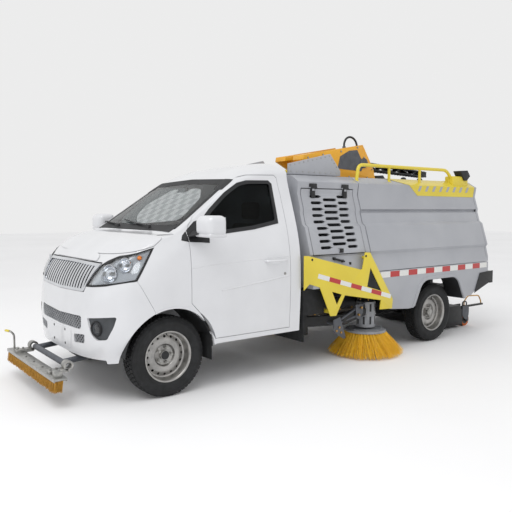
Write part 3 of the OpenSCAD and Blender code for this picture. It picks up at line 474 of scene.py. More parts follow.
def seatCloth():
    # flat woven polyester, its threads drawn coarse so that they show
    material, shader = newFinish("wovenSeatCloth", "#8A8378", Roughness=0.95, Sheen_Weight=0.3)
    mottled(material, shader, "#7B756B", "#968F84", 0.04)
    weave = addNode(material, "ShaderNodeTexWave", {"Scale": 1 / 0.02, "Distortion": 0.4},
                    {"Vector": place(material)}, bands_direction="DIAGONAL")
    bump = addNode(material, "ShaderNodeBump", {"Strength": 0.4, "Distance": 0.0005},
                   {"Height": weave.outputs["Fac"]})
    material.node_tree.links.new(bump.outputs["Normal"], shader.inputs["Normal"])
    return material


def foilQuilt():
    # aluminised foil over foam, printed in a plain check of two silvers
    material, shader = newFinish("quiltedFoil", "#E2E4E6", Metallic=0.0, Roughness=0.4)
    # turned by the screen's slope, and flattened across it, so that the checks stay square
    leaned = addNode(material, "ShaderNodeVectorRotate", {"Angle": 0.616}, {"Vector": place(material)},
                     rotation_type="Y_AXIS")
    flat = addNode(material, "ShaderNodeVectorMath", {1: (1, 1, 0.02)}, {0: leaned.outputs["Vector"]},
                   operation="MULTIPLY")
    checks = addNode(material, "ShaderNodeTexChecker", {"Scale": 1 / 0.075, "Color1": linear("#C4C6C9"),
                     "Color2": linear("#F2F3F4")}, {"Vector": flat.outputs["Vector"]})
    material.node_tree.links.new(checks.outputs["Color"], shader.inputs["Base Color"])
    grained(material, shader, 0.02, 0.0012)
    return material


rubber = clouded("tyreRubber", "#1A1B1C", "#151617", "#212224", 0.05, (0.004, 0.0002), Roughness=0.78)
clearLens = seeThrough("clearPolycarbonate", "#F4F7FA", 0.03, 1.58, 0.3, 0.0001)
hoseCover = clouded("hoseRubber", "#232426", "#1C1D1E", "#2C2D2F", 0.03, (0.002, 0.0001), Roughness=0.55)
screenGlass = seeThrough("windscreenGlass", "#D9DCDC", 0.02, 1.16, 0.4, 0.0002)
doorGlass = seeThrough("privacyGlass", "#565E60", 0.02, 1.16, 0.4, 0.0002)
brushYellow = bristle("amberPolypropyleneFilament", "#D8A524", "#FBCB34")
brushOchre = bristle("ochrePolypropyleneFilament", "#94681A", "#C08F2E")
tapeWhite = reflectiveTape("whiteMarkingTape", "#D2D2CF", "#E8E8E4")
tapeRed = reflectiveTape("redMarkingTape", "#A31010", "#C21A16")
cloth, foil = seatCloth(), foilQuilt()
urethane = clouded("castUrethane", "#C8641E", "#B85A1A", "#D26C24", 0.02, (0.004, 0.0001), Roughness=0.45)
amber, redLamp = (clouded(*colours, 0.01, None, Roughness=0.15, Coat_Weight=0.5)
                  for colours in (("amberLens", "#E0791A", "#D46C12", "#E88A2C"),
                                  ("redLens", "#B01818", "#A01212", "#BE2020")))
lampSilver = coachEnamel("metallisedReflector", "#C6CACF", "#DDE0E4", 0.16, 0.9)
mirrorGlass = bareMetal("silveredGlass", "#C9CDD0", "#DADDE0", 0.04, 0.3)
print("finishes ready")

# floor, light and camera
stageSettings = {
    "cameraAt": (-3.9581, -4.5995, 1.3818), "heading": 52.893, "tilt": -4.497, "lens": 42.12,
    "floor": "#F6F6F7", "floorPatches": "#FAFAFB", "sky": 0.84, "lightsAimedAt": (0, 0, 0.8),
    "lights": [("keyLight", (-5.0, -3.0, 7.5), 5.0, 230), ("fillLight", (-7.0, 3.5, 4.0), 4.0, 20)],
}


def buildStage(s):
    clearSelection()
    bpy.ops.mesh.primitive_plane_add(size=60)
    floor = bpy.context.object
    floor.name = "floor"
    material, shader = newFinish("matteFloor", s["floor"], Roughness=0.9)
    mottled(material, shader, s["floor"], s["floorPatches"], 3.0)
    floor.data.materials.append(material)
    world = bpy.data.worlds.new("studio")
    world.use_nodes = True
    world.node_tree.nodes["Background"].inputs["Color"].default_value = (1, 1, 1, 1)
    world.node_tree.nodes["Background"].inputs["Strength"].default_value = s["sky"]
    bpy.context.scene.world = world
    bpy.context.scene.view_settings.view_transform = "Standard"
    for name, spot, size, power in s["lights"]:
        light = bpy.data.lights.new(name, "AREA")
        light.size, light.energy = size, power
        lamp = bpy.data.objects.new(name, light)
        lamp.location = spot
        lamp.rotation_euler = (Vector(s["lightsAimedAt"]) - Vector(spot)).to_track_quat("-Z", "Y").to_euler()
        bpy.context.collection.objects.link(lamp)
    camera = bpy.data.cameras.new("camera")
    camera.lens, camera.sensor_width = s["lens"], 36.0
    eye = bpy.data.objects.new("camera", camera)
    heading, tilt = math.radians(s["heading"]), math.radians(s["tilt"])
    ahead = Vector((math.cos(heading) * math.cos(tilt), math.sin(heading) * math.cos(tilt), math.sin(tilt)))
    eye.location = s["cameraAt"]
    eye.rotation_euler = ahead.to_track_quat("-Z", "Y").to_euler()
    bpy.context.collection.objects.link(eye)
    bpy.context.scene.camera = eye


buildStage(stageSettings)
print("stage ready")

# sections of the one smooth shell that every cab panel is cut from, as columns: behind the front
# axle, sill height and half width, mid height and half width, belt height and half width,
# shoulder height and half width, height on the centre line
cabSections = [
    (-0.535, 0.305, 0.250, 0.430, 0.330, 0.560, 0.320, 0.640, 0.280, 0.690),
    (-0.518, 0.290, 0.400, 0.440, 0.470, 0.620, 0.460, 0.710, 0.420, 0.800),
    (-0.485, 0.282, 0.520, 0.450, 0.600, 0.680, 0.590, 0.790, 0.545, 0.885),
    (-0.435, 0.283, 0.620, 0.460, 0.700, 0.740, 0.690, 0.850, 0.640, 0.965),
    (-0.365, 0.295, 0.705, 0.480, 0.772, 0.800, 0.762, 0.920, 0.705, 1.040),
    (-0.285, 0.315, 0.765, 0.520, 0.812, 0.850, 0.804, 0.985, 0.745, 1.100),
    (-0.190, 0.335, 0.800, 0.560, 0.830, 0.900, 0.822, 1.060, 0.762, 1.155),
    (-0.060, 0.348, 0.816, 0.640, 0.838, 0.980, 0.825, 1.145, 0.765, 1.190),
    (0.060, 0.352, 0.820, 0.740, 0.841, 1.060, 0.822, 1.180, 0.752, 1.212),
    (0.230, 0.355, 0.823, 0.820, 0.843, 1.120, 0.815, 1.278, 0.728, 1.328),
    (0.400, 0.357, 0.824, 0.820, 0.843, 1.150, 0.810, 1.392, 0.702, 1.446),
    (0.560, 0.358, 0.825, 0.820, 0.843, 1.150, 0.808, 1.492, 0.682, 1.560),
    (0.700, 0.358, 0.825, 0.820, 0.843, 1.150, 0.808, 1.562, 0.670, 1.657),
    (0.860, 0.358, 0.825, 0.820, 0.843, 1.150, 0.808, 1.598, 0.665, 1.728),
    (1.030, 0.358, 0.825, 0.820, 0.843, 1.150, 0.808, 1.612, 0.662, 1.770),
    (1.215, 0.358, 0.825, 0.820, 0.843, 1.150, 0.808, 1.615, 0.660, 1.792),
]
crownSteps, crownPower = 6, 2 / 3.2
ringSteps = [7, 9, 8, 3, 3, 3, 3, 3, 3]  # divisions between the points of a half section


def through(values, steps):
    # smooth curve through rows of numbers, each stretch divided into its number of steps
    values = np.asarray(values, float)
    gaps = np.sqrt(np.maximum(np.linalg.norm(np.diff(values, axis=0), axis=1), 1e-6))
    reach = np.concatenate([[0], np.cumsum(gaps)])
    slopes = np.zeros_like(values)
    slopes[1:-1] = (values[2:] - values[:-2]) / (reach[2:] - reach[:-2])[:, None]
    slopes[0], slopes[-1] = (values[1] - values[0]) / gaps[0], (values[-1] - values[-2]) / gaps[-1]
    out = []
    for i, count in enumerate(steps):
        for k in range(count + (i == len(steps) - 1)):
            t = k / count
            a, b = values[i], values[i + 1]
            da, db = slopes[i] * gaps[i], slopes[i + 1] * gaps[i]
            out.append(a * (2 * t ** 3 - 3 * t ** 2 + 1) + da * (t ** 3 - 2 * t ** 2 + t)
                       + b * (3 * t ** 2 - 2 * t ** 3) + db * (t ** 3 - t ** 2))
    return np.array(out)


def halfSection(row, inset):
    side = [(row[2] - inset, row[1] + inset), (row[4] - inset, row[3]), (row[6] - inset, row[5])]
    crown = [((row[8] - inset) * math.cos(a) ** crownPower,
              row[7] + (row[9] - row[7] - inset) * math.sin(a) ** crownPower)
             for a in (math.radians(90 * i / crownSteps) for i in range(crownSteps))]
    return side + crown + [(0, row[9] - inset)]


def cabRings(inset=0.0, shift=0.0):
    # dense half sections from nose to back wall: array of [ring, point, (x, y, z)]
    control = []
    for row in cabSections:
        half = halfSection(row, inset)
        dense = through(half, ringSteps)
        dense[-1][0] = 0
        control.append(dense)
    control = np.array(control)
    xs = np.array([row[0] for row in cabSections])
    rows = np.concatenate([np.repeat(xs[:, None, None], control.shape[1], 1), control], axis=2)
    flat = through(rows.reshape(len(rows), -1), [3] * 4 + [5] * (len(rows) - 5))
    rings = flat.reshape(len(flat), -1, 3)
    rings[:, :, 0] += frontX + shift
    rings[:, -1, 1] = 0
    return rings


skins = {}


def cabSkin(name, inset=0.0, shift=0.0):
    if (inset, shift) not in skins:
        skins[inset, shift] = makeSkin(inset, shift)
    return duplicate(skins[inset, shift], name)


def makeSkin(inset, shift):
    half = cabRings(inset, shift)
    other = half[:, -2::-1] * np.array([1, -1, 1])
    rings = np.concatenate([half, other], axis=1)
    count, around = rings.shape[:2]
    clearSelection()
    bpy.ops.mesh.primitive_grid_add(x_subdivisions=around, y_subdivisions=count - 1, size=1)
    obj = bpy.context.object
    obj.name = "skin"
    closed = np.concatenate([rings, rings[:, :1]], axis=1)
    obj.data.vertices.foreach_set("co", closed.reshape(-1).tolist())
    obj.data.update()
    editAll(obj)
    bpy.ops.mesh.remove_doubles(threshold=1e-5)
    for end in (rings[0, 0, 0], rings[-1, 0, 0]):
        bpy.ops.mesh.select_mode(type="VERT")
        bpy.ops.mesh.select_all(action="DESELECT")
        leaveEdit()
        for v in obj.data.vertices:
            v.select = bool(abs(v.co.x - end) < 1e-5)
        bpy.ops.object.mode_set(mode="EDIT")
        bpy.ops.mesh.edge_face_add()
    leaveEdit()
    return outwards(obj)


surface = cabRings(0.0)


def halfWidth(x, z):
    # outside of the cab at a place on its side
    xs = surface[:, len(surface[0]) // 2, 0]
    i = int(np.clip(np.searchsorted(xs, x), 1, len(xs) - 1))
    t = (x - xs[i - 1]) / (xs[i] - xs[i - 1])
    a, b = (np.interp(z, surface[j, :, 2], surface[j, :, 1]) for j in (i - 1, i))
    return float(a + (b - a) * t)


def fromAxle(points):
    return [(frontX + x, z) for x, z in points]


cab = {
    "wall": .028, "gap": .004,
    "doorEdge": [(.158, 1.180), (.158, .690), (.232, .612), (.372, .400), (1.103, .400), (1.103, 1.500),
                 (1.096, 1.640), (1.070, 1.662), (.800, 1.655), (.655, 1.618), (.520, 1.545), (.330, 1.392),
                 (.196, 1.262)],
    "windowEdge": [(.272, 1.186), (.760, 1.232), (1.010, 1.275), (1.022, 1.585), (1.000, 1.605),
                   (.780, 1.600), (.690, 1.578), (.560, 1.500), (.400, 1.372), (.290, 1.268)],
    "hoodEdge": [(-.480, 1.003), (-.395, 1.003), (-.345, 1.054), (-.110, 1.118), (-.015, 1.188),
                 (.062, 1.196), (.066, 1.400), (-.480, 1.400)],
    "lampSide": [(-.700, 1.008), (-.395, .994), (-.340, 1.040), (-.112, 1.106), (-.262, .882),
                 (-.700, .782)],
    "lampFront": [(.452, .795), (.470, .800), (.860, .892), (.860, 1.130), (.800, 1.130), (.560, 1.010),
                  (.530, .985)],
    "grilleFront": [(0, .776), (.445, .790), (.524, .984), (.515, .996), (0, .996)],
    "bumperSide": [(-.700, .200), (-.700, .800), (-.560, .830), (-.275, .900), (-.142, .655),
                   (-.142, .200)],
    "screenFront": [(0, 1.212), (.560, 1.216), (.676, 1.232), (.672, 1.290), (.600, 1.590), (.560, 1.622),
                    (0, 1.640)],
    "doorFront": [(.603, .380), (.603, 1.195), (.700, 1.232), (.695, 1.290), (.623, 1.590), (.600, 1.640),
                  (.600, 1.720), (1.0, 1.720), (1.0, .380)],
    "archRadius": .366, "sillHalf": .640, "floorZ": .518, "wellHalf": .430, "length": 1.215,
    "mount": ((0, .08), (.33, .39), (.512, .53)),
}


def bothHalves(points):
    return points + [(-y, z) for y, z in reversed(points) if y > 1e-6]


def onSide(points, side):
    return [(side * y, z) for y, z in points]


def frontCut(points, x0, x1):
    # tool with an outline in y and z, between two x from the front axle
    return frontPlate("zone", points, frontX + x0, frontX + x1)


def sideZone(points, grow=0.0, y0=-2.0, y1=2.0):
    return sidePlate("zone", grown(fromAxle(points), grow), y0, y1)


def frontZone(points, grow=0.0, x0=-0.75, x1=0.0):
    return frontCut(grown(bothHalves(points), grow), x0, x1)


def lampZone(grow=0.0, side=left):
    zone = frontCut(onSide(grown(cab["lampFront"], grow), side), -.75, 0)
    return cut(zone, sideZone(cab["lampSide"], grow), "INTERSECT")


def archZone(radius, inner, side):
    return bar("zone", (frontX, side * inner, axleZ), (frontX, side * 1.2, axleZ), radius, 96)


outerSkin = cabSkin("outerSkin")
skinTree = BVHTree.FromPolygons([v.co for v in outerSkin.data.vertices],
                                [tuple(f.vertices) for f in outerSkin.data.polygons])


def frontAt(y, z, out=0.0):
    # point on the cab's front, moved forward by out
    hit = skinTree.ray_cast(Vector((frontX - 1, y, z)), Vector((1, 0, 0)))
    return hit[0] + hit[1] * out


def topAt(x, y, out=0.0):
    hit = skinTree.ray_cast(Vector((x, y, 3)), Vector((0, 0, -1)))
    return hit[0] + hit[1] * out


def skinPiece(name, zone, outside, inside, shift=0.0):
    # the part of the cab's skin that lies in a zone, between two insets from its form
    cut(zone, cabSkin("outer", outside, outside if shift else 0.0), "INTERSECT")
    cut(zone, cabSkin("inner", inside, shift))
    zone.name = name
    return zone


def wide(low, high):
    return box("zone", low, high, 0)


def doorZone(side, grow=0.0):
    zone = sideZone(cab["doorEdge"], grow, *across(side, .05, 1.5))
    front = onSide(grown(cab["doorFront"], grow), side)
    return cut(zone, frontCut(front, 0, 1.3), "INTERSECT")


def windowZone(side, grow):
    return sideZone(cab["windowEdge"], grow, *across(side, .45, 1.5))


def buildCab(s):
    body = duplicate(outerSkin, "cabBody")
    back = frontX + s["length"]
    cavity = cabSkin("cavity", s["wall"])
    for zone in (wide((-9, -2, -1), (frontX + .15, 2, 3)), wide((back - s["wall"], -2, -1), (9, 2, 3)),
                 wide((-9, -2, -1), (9, 2, s["floorZ"] + s["wall"]))):
        cut(cavity, zone)
    for side in (left, right):
        cut(cavity, blockNear("zone", 0, side, (-.01, .4), (.4, 1), (0, .7), 0))
    cut(body, cavity)
    nose = cabSkin("nose", .030, .030)
    cut(nose, wide((frontX + .118, -2, -1), (9, 2, 3)))
    cut(body, nose)
    for zone in (wide((-9, -.52, -.1), (frontX + .118, .52, .56)), wide((-9, -2, -.1), (frontX - .2, 2, .64)),
                 wide((frontX + .1, -s["sillHalf"], -.1), (back + .01, s["sillHalf"], s["floorZ"])),
                 sideZone(s["hoodEdge"], s["gap"]), sideZone(s["bumperSide"], .002),
                 frontZone(s["grilleFront"], .002, -.75, -.33), frontZone(s["screenFront"], -.014, .02, .76)):
        cut(body, zone)
    rebate = cabSkin("rebate", -.04)
    cut(rebate, cabSkin("inner", .011))
    cut(body, cut(rebate, frontZone(s["screenFront"], .001, .02, .76), "INTERSECT"))
    for side in (left, right):
        cut(body, archZone(s["archRadius"], s["wellHalf"], side))
        cut(body, doorZone(side, s["gap"]))
        cut(body, lampZone(.002, side))
    finished(body, "cabBody", "root", whiteCoach, ["cab_shell"])
    ribs = []
    for side in (left, right):
        for x in (s["length"] - .9, s["length"] - .16):
            ribs.append(blockNear("mount", x, side, *s["mount"], .004))
    gathered(ribs, "cabMounts", "root", rubber)
    rubs = []
    for side in (left, right):
        lip = archZone(s["archRadius"] + .011, s["wellHalf"] + .1, side)
        cut(lip, archZone(s["archRadius"] - .001, s["wellHalf"], side))
        strip = skinPiece("archLip", lip, -.004, .02)
        cut(strip, sideZone(s["bumperSide"], .001))
        cut(strip, doorZone(side, s["gap"]))
        rubs.append(strip)
    gathered(rubs, "archLips", "root", whiteCoach)


def buildHood(s):
    panel = skinPiece("hoodPanel", sideZone(s["hoodEdge"]), 0, .022, .006)
    finished(panel, "hoodPanel", "hood", whiteCoach, ["hood"])


def latticeIn(points, pitch, radius, sink, slope=1.25, steps=8):
    # crossing wires over a flat outline, laid on the cab's front
    ys, zs = [p[0] for p in points], [p[1] for p in points]
    low, high = (min(ys), min(zs)), (max(ys), max(zs))
    wires = []
    for lean in (-1, 1):
        start = low[0] - (high[1] - low[1])
        while start < high[0] + (high[1] - low[1]):
            line = []
            for k in range(steps + 1):
                z = low[1] + (high[1] - low[1]) * k / steps
                y = start + (z - low[1]) * slope * lean
                if low[0] - .004 < y < high[0] + .004:
                    line.append(frontAt(y, z, -sink))
            if len(line) > 1:
                wires.append(tube("wire", line, radius, 6))
            start += pitch
    return joined(wires, "lattice")


bumper = {
    "meshFront": [(0, .500), (.405, .512), (.422, .530), (.422, .602), (.400, .610), (0, .592)],
    "sideMesh": [(.300, .402), (.462, .416), (.468, .482), (.300, .464)],
    "meshPitch": .040, "meshWire": .0042, "meshSink": .009,
    "plate": [(0, .334), (.238, .344), (.246, .490), (0, .486)],
    "plateHoles": [(-.121, .362), (-.121, .468), (.121, .362), (.121, .468)], "plateHole": .0105,
    "archLining": [(-.0015, .440), (-.0015, .800), (-.0045, .800), (-.0045, .440)],
    "sailTip": [(.103, 1.152), (.158, 1.140), (.158, 1.217), (.122, 1.186)],
    "fogEdge": [(.498, .604), (.752, .634), (.735, .560), (.690, .468), (.600, .456), (.548, .492)],
    "fogAt": (.590, .536),
    "fogRing": [(.057, -.02), (.057, .004), (.054, .009), (.047, .009), (.044, .003), (.040, -.010),
                (0, -.014), (0, -.02)],
    "fogLens": [(0, 0), (.026, -.002), (.043, -.007), (.043, -.010), (0, -.010)],
}


def buildBumper(s):
    skin = skinPiece("bumperSkin", sideZone(cab["bumperSide"]), 0, .022, .022)
    cut(skin, frontZone(cab["grilleFront"], .003))
    cut(skin, wide((-9, -cab["sillHalf"], -.1), (9, cab["sillHalf"], .312)))
    for side in (left, right):
        cut(skin, lampZone(.003, side))
        cut(skin, archZone(cab["archRadius"], .4, side))
    openings = [bothHalves(s["meshFront"])] + [onSide(s["sideMesh"], side) for side in (left, right)]
    recesses = [onSide(s["fogEdge"], side) for side in (left, right)]
    for outline in openings + recesses:
        cut(skin, frontCut(roundedOutline(outline, .018), -.75, -.25))
    plate = frontCut(roundedOutline(bothHalves(s["plate"]), .02), -.75, -.3)
    lip = skinPiece("plateLip", plate, -.003, .018, .018)
    finished(skin, "bumperSkin", "root", whiteCoach, ["front_bumper"])
    finished(lip, "platePanel", "root", whiteCoach)
    holes = []
    for y, z in s["plateHoles"]:
        spot = frontAt(y, z, .0042)
        holes.append(bar("hole", spot, spot + Vector((.012, 0, 0)), s["plateHole"]))
    gathered(holes, "plateHoles", "root", blackPlastic)
    wires = [latticeIn(o, s["meshPitch"], s["meshWire"], s["meshSink"]) for o in openings]
    gathered(wires, "bumperLattice", "root", midGreyPowder)
    zones = [frontCut(grown(o, .006), -.75, -.25) for o in openings]
    backing = skinPiece("backing", joined(zones, "zones"), .019, .026, .03)
    finished(backing, "meshBacking", "root", blackPlastic)
    linings, sails = [], []
    for side in (left, right):
        r = cab["archRadius"]
        hoop = [(r + dr, y) for dr, y in s["archLining"]]
        lining = turned("lining", hoop, (frontX, 0, axleZ), (0, side, 0), 96)
        cut(lining, wide((-9, -2, -1), (9, 2, .338)))
        linings.append(lining)
        tip = sideZone(s["sailTip"], 0, *across(side, .45, 1.5))
        sails.append(skinPiece("sail", tip, -.0020, .006))
    gathered(linings, "archLinings", "root", blackPlastic)
    gathered(sails, "sailTips", "root", blackPlastic)
    bays, lamps, lenses = [], [], []
    for side, outline in zip((left, right), recesses):
        zone = frontCut(grown(outline, .005), -.75, -.22)
        bays.append(skinPiece("fogBay", zone, .012, .030, .034))
        y, z = s["fogAt"]
        spot = frontAt(side * y, z, -.012)
        ahead = Vector((-1, side * .25, 0)).normalized()
        lamps.append(turned("fogRing", s["fogRing"], spot, ahead, 40))
        lenses.append(turned("fogLens", s["fogLens"], spot, ahead, 40))
    gathered(bays, "fogBays", "root", greyPlastic)
    gathered(lamps, "fogRings", "root", blackPlastic)
    gathered(lenses, "fogLenses", "root", clearLens)
    print("bumper ready")


grille = {
    "edge": [(0, .776), (.445, .790), (.519, .990), (0, .996)], "rim": .020,
    "slats": 22, "slatPitch": .050, "gapShare": .19,
}


def buildGrille(s):
    outline = bothHalves(s["edge"])
    ring = frontCut(roundedOutline(outline, .02), -.75, -.33)
    cut(ring, frontCut(roundedOutline(grown(outline, -s["rim"]), .014), -.8, -.3))
    surround = skinPiece("grilleFrame", ring, -.003, .020, .026)
    inner = frontCut(grown(outline, .002 - s["rim"]), -.75, -.33)
    slats = skinPiece("grilleSlats", inner, .004, .018, .024)
    gaps = []
    half = s["slatPitch"] * s["gapShare"]
    for i in range(s["slats"]):
        y = (i + .5 - s["slats"] / 2) * s["slatPitch"]
        gaps.append(blockAt("gap", (-.8, -.3), (y - half, y + half), (.6, 1.1), 0))
    cut(slats, joined(gaps, "gaps"))
    inner = frontCut(grown(outline, -.003), -.75, -.33)
    back = skinPiece("grilleBack", inner, .020, .026, .034)
    finished(surround, "grilleFrame", "root", chromePlate, ["grille"])
    finished(slats, "grilleSlats", "root", chromePlate)
    finished(back, "grilleBack", "root", blackPlastic)


lamps = {
    "reflectors": [(-.400, .640, .925, .070), (-.315, .715, .985, .058)],
    "indicator": (-.215, .748, 1.035, .018),
    "bulb": [(0, -.9), (.2, -.9), (.2, -.35), (.14, -.25), (0, -.22)],  # as shares of the bowl's radius
}


def buildLamps(s):
    housings, seals, lenses, bowls, ambers, bulbs = [], [], [], [], [], []
    for side in (left, right):
        housing = skinPiece("lampHousing", lampZone(-.004, side), .014, .075, .075)
        for x, y, z, r in s["reflectors"]:
            cut(housing, ball((frontX + x, side * y, z), r, 32, 20))
            look = Vector((-1, side * .35, .05)).normalized()
            centre = Vector((frontX + x, side * y, z))
            profile = [(r * .97 * math.sin(a), -r * .97 * math.cos(a)) for a in np.linspace(0, 1.5, 12)]
            profile += [(p * .93, q * .93) for p, q in reversed(profile)]
            bowls.append(turned("bowl", profile, centre, look, 36))
            bulbs.append(turned("bulb", [(r * p, r * q) for p, q in s["bulb"]], centre, look, 20))
        x, y, z, r = s["indicator"]
        ambers.append(ball((frontX + x, side * y, z), r, 28, 18))
        housings.append(housing)
        rim = lampZone(0, side)
        cut(rim, lampZone(-.008, side))
        seals.append(skinPiece("lampSeal", rim, -.001, .012, .012))
        lenses.append(skinPiece("lampLens", lampZone(-.007, side), .001, .006, .006))
    gathered(housings, "lampHousings", "root", lampSilver, ["headlamps"])
    gathered(seals, "lampSeals", "root", blackPlastic)
    gathered(lenses, "lampLenses", "root", clearLens)
    gathered(bowls, "lampBowls", "root", chromePlate)
    gathered(bulbs, "lampBulbs", "root", zincPlate)
    gathered(ambers, "indicatorBulbs", "root", amber)


screen = {
    "cowl": ((.069, .125), (-.66, .66), (1.0, 1.5)), "wipers": [(-.30, .12), (.28, .60)],
    "shade": [(.10, 1.272), (.245, 1.325), (.325, 1.415), (.190, 1.545), (.085, 1.552), (.05, 1.520),
              (-.11, 1.520), (-.145, 1.552), (-.290, 1.548), (-.455, 1.470), (-.535, 1.325),
              (-.525, 1.292), (-.065, 1.260)],
    "innerMirror": (.012, .11, .03),
}


def buildScreen(s):
    pane = skinPiece("windscreenPane", frontZone(cab["screenFront"], 0, .02, .76), .004, .010)
    finished(pane, "windscreenPane", "root", screenGlass, ["windscreen"])
    rim = frontZone(cab["screenFront"], -.0005, .02, .76)
    cut(rim, frontCut(roundedOutline(grown(bothHalves(cab["screenFront"]), -.042), .05), -.1, .9))
    border = skinPiece("screenBorder", rim, .0032, .0125)
    finished(border, "screenBorder", "root", blackPlastic)
    cowl = skinPiece("cowlPanel", blockAt("zone", *s["cowl"], 0), -.003, .012)
    finished(cowl, "cowlPanel", "root", blackPlastic)
    arms = []
    for y0, y1 in s["wipers"]:
        pivot = topAt(frontX + .098, y0, .010)
        arms.append(bar("spindle", pivot - Vector((0, 0, .03)), pivot + Vector((0, 0, .014)), .013, 20, .003))
        span = y1 - y0
        line = [topAt(frontX + .10 + .035 * t, y0 + span * t, .017) for t in np.linspace(0, 1, 8)]
        arms.append(tube("arm", line, .0055, 8))
        blade = [topAt(frontX + .118 + .05 * t, y0 + span * (.42 + t), .009) for t in np.linspace(0, 1, 12)]
        arms.append(tube("blade", blade, .0048, 8))
    gathered(arms, "wipers", "root", blackPlastic)
    outline = roundedOutline(s["shade"], .03)
    shade = skinPiece("sunshade", frontCut(outline, .02, .72), .022, .027)
    finished(shade, "sunshade", "root", foil)
    look = topAt(frontX + .56, 0, -.085)
    reach = Vector(s["innerMirror"])
    mirror = box("innerMirror", look - reach, look + reach, .008, 3)
    stem = bar("stem", look, look + Vector((0, 0, .07)), .007, 12)
    gathered([mirror, stem], "innerMirror", "root", blackPlastic)


def sideLine(points, out=0.0, side=left):
    # a path on the cab's side, given in x and z from the front axle
    return [at(x, side * (halfWidth(frontX + x, z) + out), z) for x, z in points]


def stretched(centre, lengthwise, upright):
    # matrix that scales about a place, along X and Z
    return (Matrix.Translation(centre) @ Matrix.Diagonal((lengthwise, 1, upright, 1))
            @ Matrix.Translation(-centre))


door = {
    "beads": [([(.42, .765), (.8, .802), (1.095, .836)], .010),
              ([(.162, .949), (.6, .975), (1.098, .995)], .005)],
    "patch": [(.164, 1.140), (.330, 1.128), (.350, 1.316), (.245, 1.288), (.164, 1.222)],
    "grip": [(.845, -.004), (.849, .020), (.875, .034), (.950, .040), (1.025, .034), (1.051, .020),
             (1.055, -.004)], "gripZ": .966,
    "cup": [(.062, -.002), (.064, .0015), (.058, .0022), (.04, .0008), (0, .0004), (0, -.002)],
    "lock": [(0, -.004), (.012, -.004), (.012, .002), (.009, .0035), (.003, .0035), (.003, .001), (0, .001)],
}


def buildDoor(s, side):
    body, tag = "door_" + sideNames[side], sideNames[side].title()
    panel = duplicate(outerSkin, "doorPanel")
    cut(panel, doorZone(left), "INTERSECT")
    cut(panel, cabSkin("inner", .05))
    upper = cabSkin("inner", .028)
    cut(upper, wide((-9, -2, -1), (9, 2, 1.165)))
    cut(panel, upper)
    cut(panel, windowZone(left, 0))
    cut(panel, bar("zone", (frontX, 0, axleZ), (frontX, -1.5, axleZ), cab["archRadius"] + .022, 96))
    if side == right:
        other = mirrored(panel, "doorPanel")
        bpy.data.objects.remove(panel)
        panel = other
    finished(panel, "doorPanel" + tag, body, whiteCoach, [body])
    beads = []
    for line, radius in s["beads"]:
        xs = np.linspace(line[0][0], line[-1][0], 14)
        zs = np.interp(xs, [p[0] for p in line], [p[1] for p in line])
        beads.append(tube("bead", sideLine(list(zip(xs, zs)), -radius * .55, side), radius, 12))
    gathered(beads, "doorBeads" + tag, body, whiteCoach)
    ring = windowZone(side, .013)
    cut(ring, sideZone(roundedOutline(grown(cab["windowEdge"], -.016), .02)))
    trim = skinPiece("windowTrim", ring, -.0025, .020)
    patch = skinPiece("patch", sideZone(s["patch"], 0, *across(side, .45, 1.5)), -.0025, .008)
    gathered([trim, patch], "windowTrim" + tag, body, blackPlastic)
    pane = skinPiece("doorPane", windowZone(side, 0), .010, .015)
    finished(pane, "doorPane" + tag, body, doorGlass, ["door_glass_" + sideNames[side]])
    z = s["gripZ"]
    line = [at(x, side * (halfWidth(frontX + x, z) + out), z) for x, out in s["grip"]]
    handle = tube("handle", rounded(line, .02, 3), .0105, 12)
    handle.data.transform(stretched(Vector((0, 0, z)), 1, .8))
    finished(handle, "doorHandle" + tag, body, whiteCoach)
    x0, x1 = s["grip"][0][0], s["grip"][-1][0]
    middle = (x0 + x1) / 2
    spot = at(middle, side * halfWidth(frontX + middle, z + .01), z + .012)
    cup = turned("cup", s["cup"], spot, (0, side, .06), 44)
    cup.data.transform(stretched(spot, 1.25, .72))
    finished(cup, "handleCup" + tag, body, whiteCoach)
    spot = at(x1 - .012, side * halfWidth(frontX + x1, z - .11), z - .112)
    lock = turned("lock", s["lock"], spot, (0, side, 0), 28)
    finished(lock, "doorLock" + tag, body, zincPlate)


mirror = {
    "centre": (.215, .975, 1.255), "pinchFrom": .06, "pinch": (.16, .20),
    "case": ((-.056, .108), (.863, 1.075), (1.182, 1.335)), "caseFace": .096,
    "skirt": ((-.046, .104), (.868, 1.070), (1.1785, 1.209)), "skirtFace": .088,
    "mouth": ((.879, 1.059), (1.198, 1.319)), "glass": ((.088, .094), (.877, 1.061), (1.195, 1.322)),
    "foot": [(-.075, 1.172), (.060, 1.176), (.050, 1.215), (-.015, 1.222)],
}


